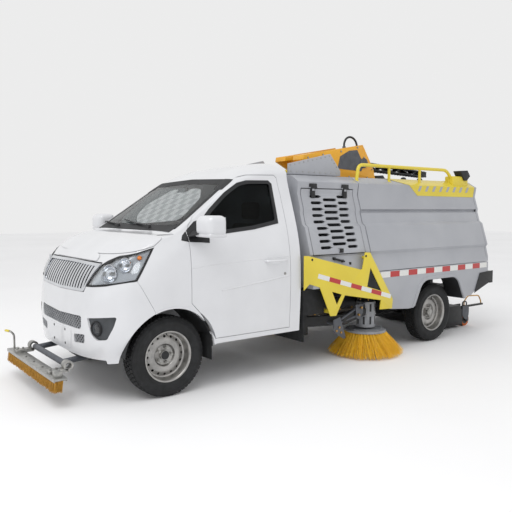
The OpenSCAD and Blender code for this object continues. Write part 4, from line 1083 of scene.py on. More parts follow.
def buildMirror(s, side):
    body, tag = "door_" + sideNames[side], sideNames[side].title()
    x, y = s["centre"][0], side * s["centre"][1]
    z = s["centre"][2]
    case = blockNear("mirrorCase", x, side, *s["case"], .045, 6)
    for v in case.data.vertices:
        # pinched towards the front
        k = (v.co.x - frontX - x) / s["pinchFrom"]
        if k < 0:
            v.co.y = y + (v.co.y - y) * (1 - s["pinch"][0] * k * k)
            v.co.z = z + (v.co.z - z) * (1 - s["pinch"][1] * k * k)
    skirt = blockNear("mirrorSkirt", x, side, *s["skirt"], .014, 4)
    for piece, face in ((case, s["caseFace"]), (skirt, s["skirtFace"])):
        cut(piece, blockNear("zone", x, side, (face, .2), *s["mouth"], 0))
    finished(case, "mirrorCase" + tag, body, whiteCoach, ["mirror_" + tag.lower()])
    finished(skirt, "mirrorSkirt" + tag, body, whiteCoach)
    glass = blockNear("mirrorGlass", x, side, *s["glass"], .001)
    finished(glass, "mirrorGlass" + tag, body, mirrorGlass)
    foot = faceFrom("foot", [at(x + dx, side * .79, height) for dx, height in s["foot"]])
    editAll(foot)
    bpy.ops.mesh.extrude_region_move(TRANSFORM_OT_translate={"value": (-.01, side * .055, .008)})
    bpy.ops.transform.resize(value=(.72, 1, .72), center_override=(frontX + x, side * .845, 1.20))
    bpy.ops.mesh.extrude_region_move(TRANSFORM_OT_translate={"value": (0, side * .075, .012)})
    leaveEdit()
    outwards(foot)
    softEdges(foot, .005, 3)
    finished(foot, "mirrorFoot" + tag, body, blackPlastic)


cabTrim = {
    "pillarSlot": [(.546, 1.533), (.560, 1.534), (.688, 1.620), (.672, 1.626)],
    "flap": ((.338, .346), (.60, .815), (.235, .43)),
}


def buildCabTrim(s):
    slots, flaps = [], []
    for side in (left, right):
        zone = sideZone(s["pillarSlot"], 0, *across(side, .4, 1.5))
        slots.append(skinPiece("slot", zone, -.002, .006))
        flaps.append(blockNear("flap", 0, side, *s["flap"], .003))
    gathered(slots, "pillarSlots", "root", blackPlastic)
    gathered(flaps, "frontMudFlaps", "root", rubber)


cabin = {
    "vents": (-.6, -.2, .2, .6), "seatY": .36, "recliner": (.92, .76), "recline": 11,
    "seat": [("seat", (.50, .96), .24, (.565, .775), .05), ("back", (.90, 1.00), .235, (.74, 1.27), .045),
             ("rest", (1.01, 1.085), .105, (1.29, 1.44), .033)],
}


def buildCabin(s):
    top = [fromNode("dashboard", "dashboardTop", .012, 3)]
    for y in s["vents"]:
        top.append(blockAt("vent", (.398, .422), (y - .055, y + .055), (1.05, 1.10), .004))
    gathered(top, "dashboardTop", "root", blackPlastic, ["dashboard"])
    wheel = "steering_wheel"
    dressed(wheel, "steeringWheelRim", wheel, blackPlastic, .002, flat=False)
    for side, tag in sideNames.items():
        y = side * s["seatY"]
        seat, back, rest = (blockAt(name, xs, (y - half, y + half), zs, edge, 5)
                            for name, xs, half, zs, edge in s["seat"])
        hinge = at(s["recliner"][0], y, s["recliner"][1])
        lean = Matrix.Rotation(math.radians(s["recline"]), 4, "Y")
        back.data.transform(Matrix.Translation(hinge) @ lean @ Matrix.Translation(-hinge))
        replaced = ["seats"] if side == left else ()
        seat = gathered([seat, back], "seat" + tag.title(), "root", cloth, replaced)
        finished(rest, "headRest" + tag.title(), "root", cloth)


buildCab(cab)
buildHood(cab)
print("cab skin ready")
buildBumper(bumper)
buildGrille(grille)
buildLamps(lamps)
buildScreen(screen)
for side in (left, right):
    buildDoor(door, side)
    buildMirror(mirror, side)
buildCabTrim(cabTrim)
buildCabin(cabin)
for skin in [outerSkin, *skins.values()]:
    bpy.data.objects.remove(skin)
print("cab ready")

# wheels
wheel = {
    "blocks": 56, "top": .3000, "shoulder": .2972, "shoulderFrom": .05, "root": .287, "fill": .0262,
    "rows": [(-.0665, -.038, .5), (-.032, -.004, 0), (.004, .032, .5), (.038, .0665, 0)],
    "wall": [(.1845, .061), (.188, .0705), (.197, .0765), (.2055, .0795), (.2105, .0822), (.2150, .0815),
             (.232, .0862), (.247, .0872), (.2545, .0860), (.2560, .0868), (.2620, .0852), (.2635, .0836),
             (.278, .0778), (.2875, .0705), (.2905, .0640)],
    "brakePlate": [(.045, -.040), (.160, -.036), (.160, -.031), (.045, -.033)],
    "cap": [(.0005, .018), (.033, .018), (.033, .0225), (.030, .0255), (.0005, .0270)],
    "hub": [(.0005, .018), (.036, .018), (.036, .032), (.033, .036), (.0240, .037), (.0225, .042),
            (.0005, .042)],
    "nut": [(.0005, .0150), (.0128, .0150), (.0128, .0168), (.0108, .0172), (.0098, .0240), (.0058, .0258),
            (.0058, .0300), (.0005, .0306)],
    "nuts": 5, "nutRing": .057,
    "valveRing": .168, "valveOut": .020, "valveRadius": .0038,
    "valve": [(0, 0), (.022, -.004), (.036, -.012)],
}


def buildTyre(s):
    # about the origin, its axle along Y and its outer side towards +Y
    profile = s["wall"] + [(r, -y) for r, y in reversed(s["wall"])]
    parts = [turned("tyre", profile, (0, 0, 0), (0, 1, 0), 96)]
    for y0, y1, offset in s["rows"]:
        tops = [s["shoulder"] if abs(y) > s["shoulderFrom"] else s["top"] for y in (y0, y1)]
        block = frontPlate("block", [(y0, s["root"]), (y1, s["root"]), (y1, tops[1]), (y0, tops[0])],
                           -s["fill"] / 2, s["fill"] / 2)
        softEdges(block, .0014, 1)
        for k in range(s["blocks"]):
            turn = Matrix.Rotation((k + offset) * math.tau / s["blocks"], 4, "Y")
            parts.append(duplicate(block, "block", turn))
        bpy.data.objects.remove(block)
    return joined(parts, "tyre")


def buildWheel(s, tyre, tag, x, side):
    def turnedAt(name, profile, radius=0.0, turn=0.0, steps=32):
        centre = (x + radius * math.sin(turn), side * wheelY, axleZ + radius * math.cos(turn))
        return turned(name, profile, centre, (0, side, 0), steps)

    there = Matrix.Translation((x, side * wheelY, axleZ)) @ Matrix.Diagonal((1, side, 1, 1))
    spin, mark, front = "wheel_" + tag, tag.upper(), tag[0] == "f"
    finished(duplicate(tyre, "tyre", there), "tyre" + mark, spin, rubber, ["tyre_" + tag])
    rim = fromNode("rim_" + tag, "rim", .0012, 1, 34, flat=False)
    finished(rim, "rim" + mark, spin, wheelEnamel, ["rim_" + tag], 30)
    plate = turnedAt("brakePlate", s["brakePlate"], steps=64)
    carrier = "knuckle_" + sideNames[side] if front else "root"
    finished(plate, "brakePlate" + mark, carrier, blackPowder)
    if front:
        finished(turnedAt("cap", s["cap"]), "hubCap" + mark, spin, blackPlastic)
    else:
        finished(turnedAt("hub", s["hub"]), "hub" + mark, spin, zincPlate)
    nuts = [turnedAt("nut", s["nut"], s["nutRing"], math.radians(90 + 360 / s["nuts"] * k), 12)
            for k in range(s["nuts"])]
    gathered(nuts, "wheelNuts" + mark, spin, zincPlate)
    base = Vector((x, side * (wheelY + s["valveOut"]), axleZ + s["valveRing"]))
    stem = tube("stem", [base + Vector((0, side * out, rise)) for out, rise in s["valve"]], s["valveRadius"])
    finished(stem, "valveStem" + mark, spin, blackPlastic)


tyre = buildTyre(wheel)
for tag, x, side in (("fl", frontX, left), ("fr", frontX, right), ("rl", rearX, left), ("rr", rearX, right)):
    buildWheel(wheel, tyre, tag, x, side)
bpy.data.objects.remove(tyre)
print("wheels ready")

# rear body: one outline that the bay, hopper and everything laid on them follow
body = {
    "half": .868, "top": 1.700,
    "ribs": [(.868, .806), (.838, .853), (.810, .962), (.828, .990), (.756, 1.222), (.720, 1.250),
             (.690, 1.348), (.694, 1.380), (.652, 1.515), (.668, 1.620), (.560, 1.682)],
}


def bodyPrism(name, x0, x1, bottom, inset=0.0):
    outline = bothHalves([(body["half"], bottom)] + body["ribs"] + [(0, body["top"])])
    return frontPlate(name, grown(outline, -inset), frontX + x0, frontX + x1)


def wrapped(name, points, out, depth, side=left):
    # the outline in x and z, laid on the side of the rear body between two distances from it
    plate = sidePlate("plate", fromAxle(points), *across(side, .45, 1.2))
    xs = [p[0] for p in points]
    span = (min(xs) - .05, max(xs) + .05, .3)
    cut(plate, bodyPrism("outer", *span, -out), "INTERSECT")
    cut(plate, bodyPrism("inner", *span, depth))
    plate.name = name
    return plate


bay = {
    "hinges": (1.505, 1.902), "hingeY": .674, "hingeZ": 1.567, "barrel": .0084,
    "doorBarrel": (-.0135, .0135), "bodyBarrels": [(-.0395, -.0150), (.0150, .0395)],
    "strap": ((-.0225, .0225), (.640, .6745), (1.484, 1.560)),
    "leaf": ((-.042, .042), (.650, .6762), (1.5735, 1.604)),
    "screws": (1.508, 1.538), "screw": .0045,
    "lock": ((1.677, 1.727), (.806, .838), (.994, 1.032)), "lockTurn": (1.702, 1.013), "lockY": (.836, .8425),
    "stay": [(1.606, .8295, .948), (1.738, .8365, .915)], "stayRadius": .0085,
    "lugs": [(1.622, .945), (1.722, .920), (1.818, .893)], "lugY": (.808, .834), "lugHalf": .012,
}


def buildBay(s):
    dressed("bay_shell", "bayShell", "root", greyEnamel, .0035, 3)
    dressed("blower", "fanCasing", "root", greyPowder, .006)
    leaves, collars = [], []
    for side, tag in sideNames.items():
        ride = "bay_door_" + tag
        dressed(ride, "bayDoor" + tag.title(), ride, greyEnamel, .0022)
        y, z = side * s["hingeY"], s["hingeZ"]
        straps = []
        for x in s["hinges"]:
            straps.append(blockNear("strap", x, side, *s["strap"]))
            leaves.append(blockNear("leaf", x, side, *s["leaf"]))
            a, b = s["doorBarrel"]
            straps.append(bar("collar", at(x + a, y, z), at(x + b, y, z), s["barrel"]))
            for a, b in s["bodyBarrels"]:
                collars.append(bar("collar", at(x + a, y, z), at(x + b, y, z), s["barrel"]))
            for height in s["screws"]:
                straps.append(bar("screw", at(x, y * .99, height), at(x, y * 1.006, height), s["screw"], 12,
                                  .001))
        straps.append(blockNear("lock", 0, side, *s["lock"], .004, 3))
        straps.append(boltAcross("lockTurn", *s["lockTurn"], side, s["lockY"], .0095, 24))
        gathered(straps, "doorFittings" + tag.title(), ride, blackPowder)
        ends = [at(x, side * y, z) for x, y, z in s["stay"]]
        leaves.append(bar("stay", *ends, s["stayRadius"], 16, .002))
        reach = (-s["lugHalf"], s["lugHalf"])
        for x, z in s["lugs"]:
            leaves.append(blockNear("lug", x, side, reach, s["lugY"], (z + reach[0], z + reach[1]), .003))
    gathered(leaves + collars, "hingeLeaves", "root", blackPowder)


hopper = {
    "reach": (2.092, 3.960), "bottom": .806, "frontWall": .030, "past": .010, "grooveFrom": .004,
    "inside": [(.830, .836), (.780, .862), (.622, 1.510), (.622, 1.610), (.552, 1.654), (0, 1.670)],
    "groove": [(.730, 1.378), (.6925, 1.378), (.670, 1.367), (.6855, 1.343), (.730, 1.343)],
    "barrels": [(.230, .269, .003, 1.703), (.300, .320, .014, .790)], "barrel": .008,
    "lugs": [((-.020, 0), (.230, .269), (1.678, 1.703)), ((-.004, .022), (.300, .320), (.806, .811)),
             ((.006, .022), (.300, .320), (.790, .8105))],
    "patch": [(2.550, 1.694), (2.818, 1.622), (2.974, 1.517), (3.958, 1.511), (3.958, 1.715), (2.500, 1.715)],
    "marks": 8, "markFrom": 3.006, "markPitch": .1184,
    "mark": [(-.040, 1.562), (-.002, 1.562), (.018, 1.617), (-.020, 1.617)],
}


def buildHopper(s):
    x0, x1 = s["reach"]
    shell = bodyPrism("hopperShell", x0, x1, s["bottom"])
    cut(shell, frontPlate("inside", bothHalves(s["inside"]), frontX + x0 + s["frontWall"],
                          frontX + x1 + s["past"]))
    for side in (left, right):
        groove = [(side * y, z) for y, z in s["groove"]]
        cut(shell, frontPlate("groove", groove, frontX + x0 + s["grooveFrom"], frontX + x1 + s["past"]))
    softEdges(shell, .0035, 3)
    parts, patches, marks = [shell], [], []
    for side in (left, right):
        for y0, y1, x, z in s["barrels"]:
            parts.append(boltAcross("barrel", x1 + x, z, side, (y0, y1), s["barrel"], 24, 0))
        for lug in s["lugs"]:
            parts.append(blockNear("lug", x1, side, *lug, .001, 1))
    gathered(parts, "hopperShell", "hopper", greyEnamel, ["hopper"])
    for side in (left, right):
        patches.append(wrapped("patch", s["patch"], .0030, .0010, side))
        for k in range(s["marks"]):
            x = s["markFrom"] + k * s["markPitch"]
            marks.append(wrapped("mark", [(x + dx, z) for dx, z in s["mark"]], .0042, .0010, side))
    gathered(patches, "sidePatches", "hopper", yellowEnamel)
    gathered(marks, "patchMarks", "hopper", greyEnamel)


gate = {
    "back": 4.002, "latchY": .62, "plate": ((-.001, .006), (-.03, .03), (.905, .985)),
    "lever": (.018, .950, 1.055), "leverRadius": .009, "toggle": ((.004, .026), (-.014, .014), (.935, .962)),
    "seal": [(3.9605, .84), (3.9655, .84), (3.9655, 1.62), (3.9605, 1.62)],
}


def buildGate(s):
    dressed("tailgate", "tailgatePanel", "tailgate", greyEnamel, .004, 3)
    latches = []
    for side in (left, right):
        y = side * s["latchY"]
        x, low, high = s["lever"]
        x += s["back"]
        for name, edge in (("plate", .002), ("toggle", .003)):
            xs, ys, zs = s[name]
            latches.append(blockAt(name, [s["back"] + v for v in xs], [y + v for v in ys], zs, edge))
        latches.append(bar("lever", at(x, y, low), at(x, y, high), s["leverRadius"], 16, .002))
    gathered(latches, "tailgateLatches", "tailgate", blackPowder)
    seal = wrapped("seal", s["seal"], -.004, .014)
    gathered([seal, mirrored(seal, "seal")], "gateSeal", "tailgate", rubber)


skirts = {
    "archCircles": (-.225, .165), "archFeet": (-.458, .405), "archRadius": .150, "archTop": .522,
    "archFoot": .380, "linerY": (.660, .860), "linerSkin": (-.0008, -.0045), "linerFoot": .431,
    "stripes": 13, "stripeX": (2.185, 3.93), "stripeZ": (.738, .792), "stripeThick": .0012,
    "bracketStripes": 7, "bracketLine": ((1.380, .812), (2.318, .556)), "bracketWidth": (.0052, .0192),
    "bracketY": (.878, .8792),
}


def hullAround(points):
    # the smallest outline without hollows that holds every point
    pts = sorted(set(points))
    halves = []
    for ordered in (pts, pts[::-1]):
        chain = []
        for p in ordered:
            while len(chain) > 1 and ((chain[-1][0] - chain[-2][0]) * (p[1] - chain[-2][1])
                                      - (chain[-1][1] - chain[-2][1]) * (p[0] - chain[-2][0])) <= 0:
                chain.pop()
            chain.append(p)
        halves += chain[:-1]
    return halves


def archEdge(s, growth=0.0):
    points = []
    for x in s["archCircles"]:
        for k in range(49):
            turn = math.pi * k / 48
            r = s["archRadius"] + growth
            points.append((rearX + x + r * math.cos(turn), s["archTop"] + r * math.sin(turn)))
    a, b = s["archFeet"]
    return hullAround(points + [(rearX + a - growth, s["archFoot"]), (rearX + b + growth, s["archFoot"])])


def buildSkirts(s):
    dressed("lower_body", "sideSkirts", "root", greyEnamel, .0028)
    dressed("deck", "deckPlate", "root", greyEnamel)
    dressed("body_mounts", "bodyMounts", "root", blackPowder)
    liners = []
    for side in (left, right):
        y = across(side, *s["linerY"])
        outer, inner = s["linerSkin"]
        liner = sidePlate("liner", archEdge(s, outer), *y)
        cut(liner, sidePlate("inside", archEdge(s, inner), y[0] - .1, y[1] + .1))
        cut(liner, wide((rearX - 1, y[0] - .1, .2), (rearX + 1, y[1] + .1, s["linerFoot"])))
        liners.append(liner)
    gathered(liners, "archLiners", "root", blackPlastic)
    tapes = [], []
    x0, x1 = s["stripeX"]
    a, b = (Vector(p) for p in s["bracketLine"])
    width = Vector(s["bracketWidth"])
    for side in (left, right):
        y = across(side, body["half"], body["half"] + s["stripeThick"])
        edges = [x0 + (x1 - x0) * k / s["stripes"] for k in range(s["stripes"] + 1)]
        for k, span in enumerate(zip(edges, edges[1:])):
            tapes[k % 2].append(blockAt("tape", span, y, s["stripeZ"], 0))
        for k in range(s["bracketStripes"]):
            p, q = a.lerp(b, k / s["bracketStripes"]), a.lerp(b, (k + 1) / s["bracketStripes"])
            corners = [tuple(v) for v in (p - width, q - width, q + width, p + width)]
            tapes[k % 2].append(sidePlate("tape", fromAxle(corners), *across(side, *s["bracketY"])))
    gathered(tapes[0], "whiteTapes", "root", tapeWhite, angle=0)
    gathered(tapes[1], "redTapes", "root", tapeRed, angle=0)


brackets = {
    "bolts": [(1.311, .954), (1.970, .955)], "boltY": .8775,
    "boltParts": [(.0018, .0105, 20), (.0070, .0066, 6)],
    "window": [(2.030, .868), (1.978, .664), (2.202, .601)], "windowY": (.8684, .8697),
    "guards": [((1.250, 1.258), (.420, .838), (.250, .690)), ((1.262, 1.520), (.800, .806), (.470, .695))],
}


def buildBrackets(s):
    dressed("side_brackets", "sideBrackets", "root", yellowEnamel, .0016)
    bolts, shields = [], []
    for side in (left, right):
        for x, z in s["bolts"]:
            for out, radius, sides in s["boltParts"]:
                bolts.append(boltAcross("bolt", x, z, side, (s["boltY"], s["boltY"] + out), radius, sides,
                                        .0006))
        shields.append(sidePlate("shield", fromAxle(s["window"]), *across(side, *s["windowY"])))
        for xs, ys, zs in s["guards"]:
            shields.append(blockNear("guard", 0, side, xs, ys, zs))
    gathered(bolts, "bracketBolts", "root", blackPowder)
    gathered(shields, "splashGuards", "root", rubber)


rear = {
    "face": 4.048, "frame": ((-.004, .006), (.594, .796), (.579, .671)),
    "indicator": ((-.002, .012), (.548, .590), (.600, .650)),
    "plate": ((-.001, .003), (-.26, .26), (.568, .682)),
}


def buildRear(s):
    dressed("rear_bumper", "rearBumper", "root", blackPowder, .005, 3)
    dressed("rear_lamps", "rearLamps", "root", redLamp, .006, 3)
    frames = [blockNear("frame", s["face"], side, *s["frame"], .003) for side in (left, right)]
    ambers = [blockNear("turn", s["face"], side, *s["indicator"], .004, 3) for side in (left, right)]
    frames.append(blockNear("plate", s["face"], right, *s["plate"]))
    gathered(frames, "lampFrames", "root", blackPlastic)
    gathered(ambers, "rearIndicators", "root", amber)


buildBay(bay)
buildHopper(hopper)
buildGate(gate)
buildSkirts(skirts)
buildBrackets(brackets)
buildRear(rear)
print("rear body ready")

# roof: rails, deflectors, boom and its frame
rails = {
    "y": .600, "path": [(2.120, 1.616), (2.150, 1.802), (3.530, 1.802), (3.640, 1.690)], "tube": .017,
    "posts": (2.590, 3.070), "postZ": (1.616, 1.802), "post": .014,
    "feet": (2.124, 2.590, 3.070), "footZ": 1.648,
    "foot": [(.0005, 0), (.034, 0), (.034, .005), (.020, .010), (.0005, .010)],
    "stand": ((3.600, 3.880), (.530, .640), (1.616, 1.740)),
    "lampY": (.560, .660), "lamp": [(3.706, 1.800), (3.838, 1.808), (3.892, 1.744), (3.832, 1.694),
                                    (3.790, 1.694)],
    "fins": 6, "finLine": ((3.720, 1.794), (3.822, 1.700)), "finIn": .008,
    "lens": [(3.8445, 1.8035), (3.8890, 1.7510), (3.8945, 1.7555), (3.8500, 1.8080)], "lensIn": .009,
}


def buildRails(s):
    parts, lamps, lenses = [], [], []
    for side in (left, right):
        y = side * s["y"]
        parts.append(tube("rail", rounded([at(x, y, z) for x, z in s["path"]], .06, 6), s["tube"], 20))
        for x in s["posts"]:
            low, high = s["postZ"]
            parts.append(bar("post", at(x, y, low), at(x, y, high), s["post"]))
        for x in s["feet"]:
            parts.append(turned("foot", s["foot"], at(x, y, s["footZ"]), (0, side * .45, .9), 24))
        parts.append(blockNear("stand", 0, side, *s["stand"], .012, 4))
        y0, y1 = across(side, *s["lampY"])
        lamps.append(softEdges(sidePlate("lamp", fromAxle(s["lamp"]), y0, y1), .006, 3))
        a, b = (Vector(p) for p in s["finLine"])
        for k in range(s["fins"]):
            fin = a.lerp(b, (k + .5) / s["fins"])
            lamps.append(blockAt("fin", (fin.x - .012, fin.x + .004), (y0 + s["finIn"], y1 - s["finIn"]),
                                 (fin.y - .003, fin.y + .003), .001))
        lenses.append(sidePlate("lens", fromAxle(s["lens"]), y0 + s["lensIn"], y1 - s["lensIn"]))
    gathered(parts, "roofRails", "hopper", yellowEnamel, ["roof_rails"])
    gathered(lamps, "workLamps", "hopper", blackPlastic)
    gathered(lenses, "workLampLenses", "hopper", clearLens)


deflectors = {
    "y": .520, "rows": [((1.366, 1.770), (1.845, 1.872), 9), ((1.845, 1.872), (1.970, 1.742), 4),
                        ((1.375, 1.715), (2.005, 1.715), 9)],
    "rivet": [(.0005, -.001), (.0070, -.001), (.0056, .0022), (.0028, .0034), (.0005, .0036)],
}


def buildDeflectors(s):
    dressed("deflectors", "deflectors", "root", greyEnamel, .0022)
    rivets = []
    for side in (left, right):
        for start, end, count in s["rows"]:
            for k in range(count):
                p = Vector(start).lerp(Vector(end), k / count)
                rivets.append(turned("rivet", s["rivet"], at(p.x, side * s["y"], p.y), (0, side, 0), 12))
    gathered(rivets, "deflectorRivets", "root", zincPlate)


boomFrame = {
    "panelY": (.2148, .2185), "panel": [(2.255, 1.790), (2.290, 1.915), (2.420, 1.978), (2.535, 1.992),
                                        (2.640, 1.840),
                                        (2.600, 1.775)],
    "boltY": (.214, .2225), "bolts": [(1.850, 1.880), (2.050, 1.918), (2.300, 1.965), (2.540, 2.018),
                                      (2.765, 1.800),
                                      (2.640, 1.920), (2.170, 1.712), (2.420, 1.712), (2.690, 1.712)],
    "pin": (2.640, 1.862),
    "pinCap": [(.0005, .186), (.052, .186), (.052, .222), (.046, .228), (.020, .230), (.018, .236),
               (.0005, .236)],
    "manifold": ((-.026, .026), (-.038, .027), (-.086, -.023)),
    "fittings": [("ferrule", -.024, .010, .0175, 20, .002), ("hexagon", -.026, -.008, .0215, 6, .001)],
    "hose": [(2.405, -.155, 2.016), (2.405, -.155, 2.024), (2.405, -.155, 2.034), (2.408, -.154, 2.058),
             (2.418, -.153, 2.081), (2.433, -.152, 2.101), (2.453, -.151, 2.116), (2.476, -.150, 2.125),
             (2.500, -.150, 2.128), (2.524, -.150, 2.125), (2.547, -.151, 2.116), (2.567, -.152, 2.101),
             (2.582, -.153, 2.081), (2.592, -.154, 2.058), (2.595, -.155, 2.034), (2.595, -.155, 2.014),
             (2.595, -.155, 1.994), (2.595, -.155, 1.976)],
    "hoseRadius": .011,
}


def buildBoomFrame(s):
    dressed("boom_pedestal", "boomFrame", "hopper", amberEnamel)
    dark, panels, bolts = [], [], []
    for side in (left, right):
        panels.append(sidePlate("panel", fromAxle(s["panel"]), *across(side, *s["panelY"])))
        bolts += [boltAcross("bolt", x, z, side, s["boltY"], .0095) for x, z in s["bolts"]]
        pinX, pinZ = s["pin"]
        dark.append(turned("pinCap", s["pinCap"], at(pinX, 0, pinZ), (0, side, 0), 32))
    for x, y, z in (s["hose"][0], s["hose"][-1]):
        spans = [[c + v for v in span] for c, span in zip((x, y, z), s["manifold"])]
        dark.append(blockAt("manifold", *spans, .004, 3))
        for name, low, high, radius, sides, edge in s["fittings"]:
            dark.append(bar(name, at(x, y, z + low), at(x, y, z + high), radius, sides, edge))
    gathered(panels, "framePanels", "hopper", greyPowder)
    gathered(bolts, "frameBolts", "hopper", zincPlate)
    gathered(dark, "frameFittings", "hopper", greyPowder)
    path = [at(*p) for p in s["hose"]]
    hose = tube("hose", path, s["hoseRadius"], 20)
    finished(hose, "boomHose", "hopper", hoseCover, ["hose"])
    path = [tuple(p) for p in path]


boom = {
    "root": (2.640, 1.862), "tip": (3.900, 1.790), "half": .056, "chordIn": .004, "chord": .0095,
    "chordRise": [(.034, .024), (-.039, -.024)], "ribPitch": .047, "ribHalf": .004, "ribOut": .003,
    "ribTop": (.040, -.010, -.008, .006), "ribLow": (-.045, .015, -.006, .008),
    "domes": [(3.18, -.30), (3.18, .30), (3.46, -.30), (3.46, .30)], "domeZ": 1.703,
    "dome": [(.0005, -.003), (.030, -.003), (.030, .006), (.024, .018), (.012, .024), (.0005, .0255)],
}


def buildBoom(s):
    parts = [fromNode("boom", "boomCore", .0025)]
    (x0, z0), (x1, z1) = s["root"], s["tip"]
    for y in (-s["half"] + s["chordIn"], s["half"] - s["chordIn"]):
        for rise0, rise1 in s["chordRise"]:
            parts.append(bar("chord", at(x0 + .04, y, z0 + rise0), at(x1 - .002, y, z1 + rise1), s["chord"],
                             16, .002))
    count = int((x1 - x0 - .1) / s["ribPitch"])
    reach = s["half"] + s["ribOut"]
    for k in range(count):
        t = (k + 1.2) / (count + 1)
        x, z = x0 + (x1 - x0) * t, z0 + (z1 - z0) * t
        for rise, fall, low, high in (s["ribTop"], s["ribLow"]):
            middle = z + (rise + fall * t)
            parts.append(blockAt("rib", (x - s["ribHalf"], x + s["ribHalf"]), (-reach, reach),
                                 (middle + low, middle + high), .0015))
    gathered(parts, "boomLattice", "boom", blackPowder, ["boom"])
    domes = [turned("dome", s["dome"], at(x, y, s["domeZ"]), (0, 0, 1), 28) for x, y in s["domes"]]
    gathered(domes, "roofDomes", "hopper", blackPlastic)


buildRails(rails)
buildDeflectors(deflectors)
buildBoomFrame(boomFrame)
buildBoom(boom)
print("roof ready")


def strandTuft(strands, root, tip, splay):
    # hangs from the origin down to z = -1, spreading towards the tips
    parts = []
    for k in range(strands):
        turn = math.tau * k / strands + random.uniform(-.4, .4)
        out = Vector((math.cos(turn), math.sin(turn), 0))
        start = out * root * 1.6 * (0 if k == 0 else 1)
        end = out * splay * random.uniform(.5, 1.1) + Vector((0, 0, -1))
        clearSelection()
        bpy.ops.mesh.primitive_cone_add(vertices=4, radius1=tip, radius2=root, depth=(end - start).length,
                                        location=(start + end) / 2)
        strand = bpy.context.object
        strand.rotation_mode = "QUATERNION"
        strand.rotation_quaternion = (start - end).to_track_quat("Z", "Y")
        parts.append(settle(strand))
    return joined(parts, "tuft")


def aimed(start, end, turn):
    # matrix that lays a tuft of unit length from start to end, thickness unchanged
    start, end = Vector(start), Vector(end)
    along = (end - start)
    turnTo = (-along).to_track_quat("Z", "Y").to_matrix().to_4x4()
    return (Matrix.Translation(start) @ turnTo @ Matrix.Rotation(turn, 4, "Z")
            @ Matrix.Diagonal((1, 1, along.length, 1)))


def onRing(x, y, z, radius, turn):
    return (x + radius * math.cos(turn), y + radius * math.sin(turn), z)


def ringBolts(name, x, y, zs, count, ring, radius):
    # upright hexagons spread evenly about a point
    turns = [math.tau * k / count for k in range(count)]
    return [bar(name, onRing(x, y, zs[0], ring, a), onRing(x, y, zs[1], ring, a), radius, 6,
                .001) for a in turns]


sideBroom = {
    "axis": (2.170, .700), "discZ": .214,
    "disc": [(.020, .001), (.060, .001), (.150, .002), (.1925, .004), (.1925, .020), (.184, .0255),
             (.110, .0265),
             (.090, .030), (.060, .032), (.0205, .032)],
    "shaft": (.004, .170, .0198), "studs": 8, "studRing": .146, "stud": (.020, .033, .0085),
    "tuft": (9, .0021, .0012, .030),  # strands, radius at the root and the tip, splay of the tips
    "rings": [(.110, 26, .235), (.140, 34, .290), (.168, 40, .325), (.184, 44, .345)],
    "sweep": .10, "tipZ": (.012, .022), "floorGap": .003,
    "sleeve": [(.0882, .262), (.0916, .263), (.0916, .386), (.0930, .388), (.0930, .396), (.0916, .398),
               (.0916, .504), (.0882, .505)],
    "motor": [(.0005, .538), (.044, .538), (.044, .560), (.036, .572), (.0005, .574)],
    "slots": 9, "slotX": (.080, .0925), "slotY": (-.011, .011), "slotZ": [(.290, .368), (.412, .488)],
    "plates": [([(1.640, .392), (1.727, .411), (1.800, .215), (1.775, .205), (1.645, .285)], (.796, .803)),
               ([(1.935, .500), (2.040, .500), (2.032, .420), (1.990, .356), (1.945, .378)], (.786, .793))],
    "links": [((1.690, .640, .350), (1.690, .798, .350), .016, 20),
              ((1.985, .720, .440), (1.985, .790, .440), .014, 20),
              ((1.745, .790, .385), (2.085, .765, .505), .0095, 16),
              ((1.760, .770, .350), (1.960, .780, .395), .0095, 16)],
    "armBolts": (.12, .38, .62, .86), "armLine": ((1.560, .560), (2.080, .690)),
    "plateBolts": [(1.712, .318), (1.678, .290), (1.735, .270), (1.965, .407), (2.000, .470)],
    "plateBoltY": (.790, .812), "flangeBolts": 6, "flangeRing": .074, "flangeBoltZ": (.519, .532),
}


def sideTufts(s, x, y, z):
    tuft = strandTuft(*s["tuft"])
    copies = []
    for ring, count, ground in s["rings"]:
        for k in range(count):
            a = math.tau * (k + random.uniform(-.12, .12)) / count
            sway = a + random.uniform(-.05, .05) + s["sweep"]
            reach = ground + random.uniform(-.016, .003)
            start = onRing(x, y, z + .004, ring, a)
            end = onRing(x, y, random.uniform(*s["tipZ"]), reach, sway)
            copies.append(duplicate(tuft, "tuft", aimed(start, end, random.uniform(0, 6))))
    bpy.data.objects.remove(tuft)
    bristles = joined(copies, "bristles")
    for vertex in bristles.data.vertices:
        vertex.co.z = max(vertex.co.z, s["floorGap"])
    return bristles


def motorSlots(s, x, y):
    slots = []
    for k in range(s["slots"]):
        turn = Matrix.Translation((x, y, 0)) @ Matrix.Rotation(math.tau * (k + .3) / s["slots"], 4, "Z")
        for z0, z1 in s["slotZ"]:
            (x0, x1), (y0, y1) = s["slotX"], s["slotY"]
            slot = box("slot", (x0, y0, z0), (x1, y1, z1), .004)
            slot.data.transform(turn)
            slots.append(slot)
    return slots


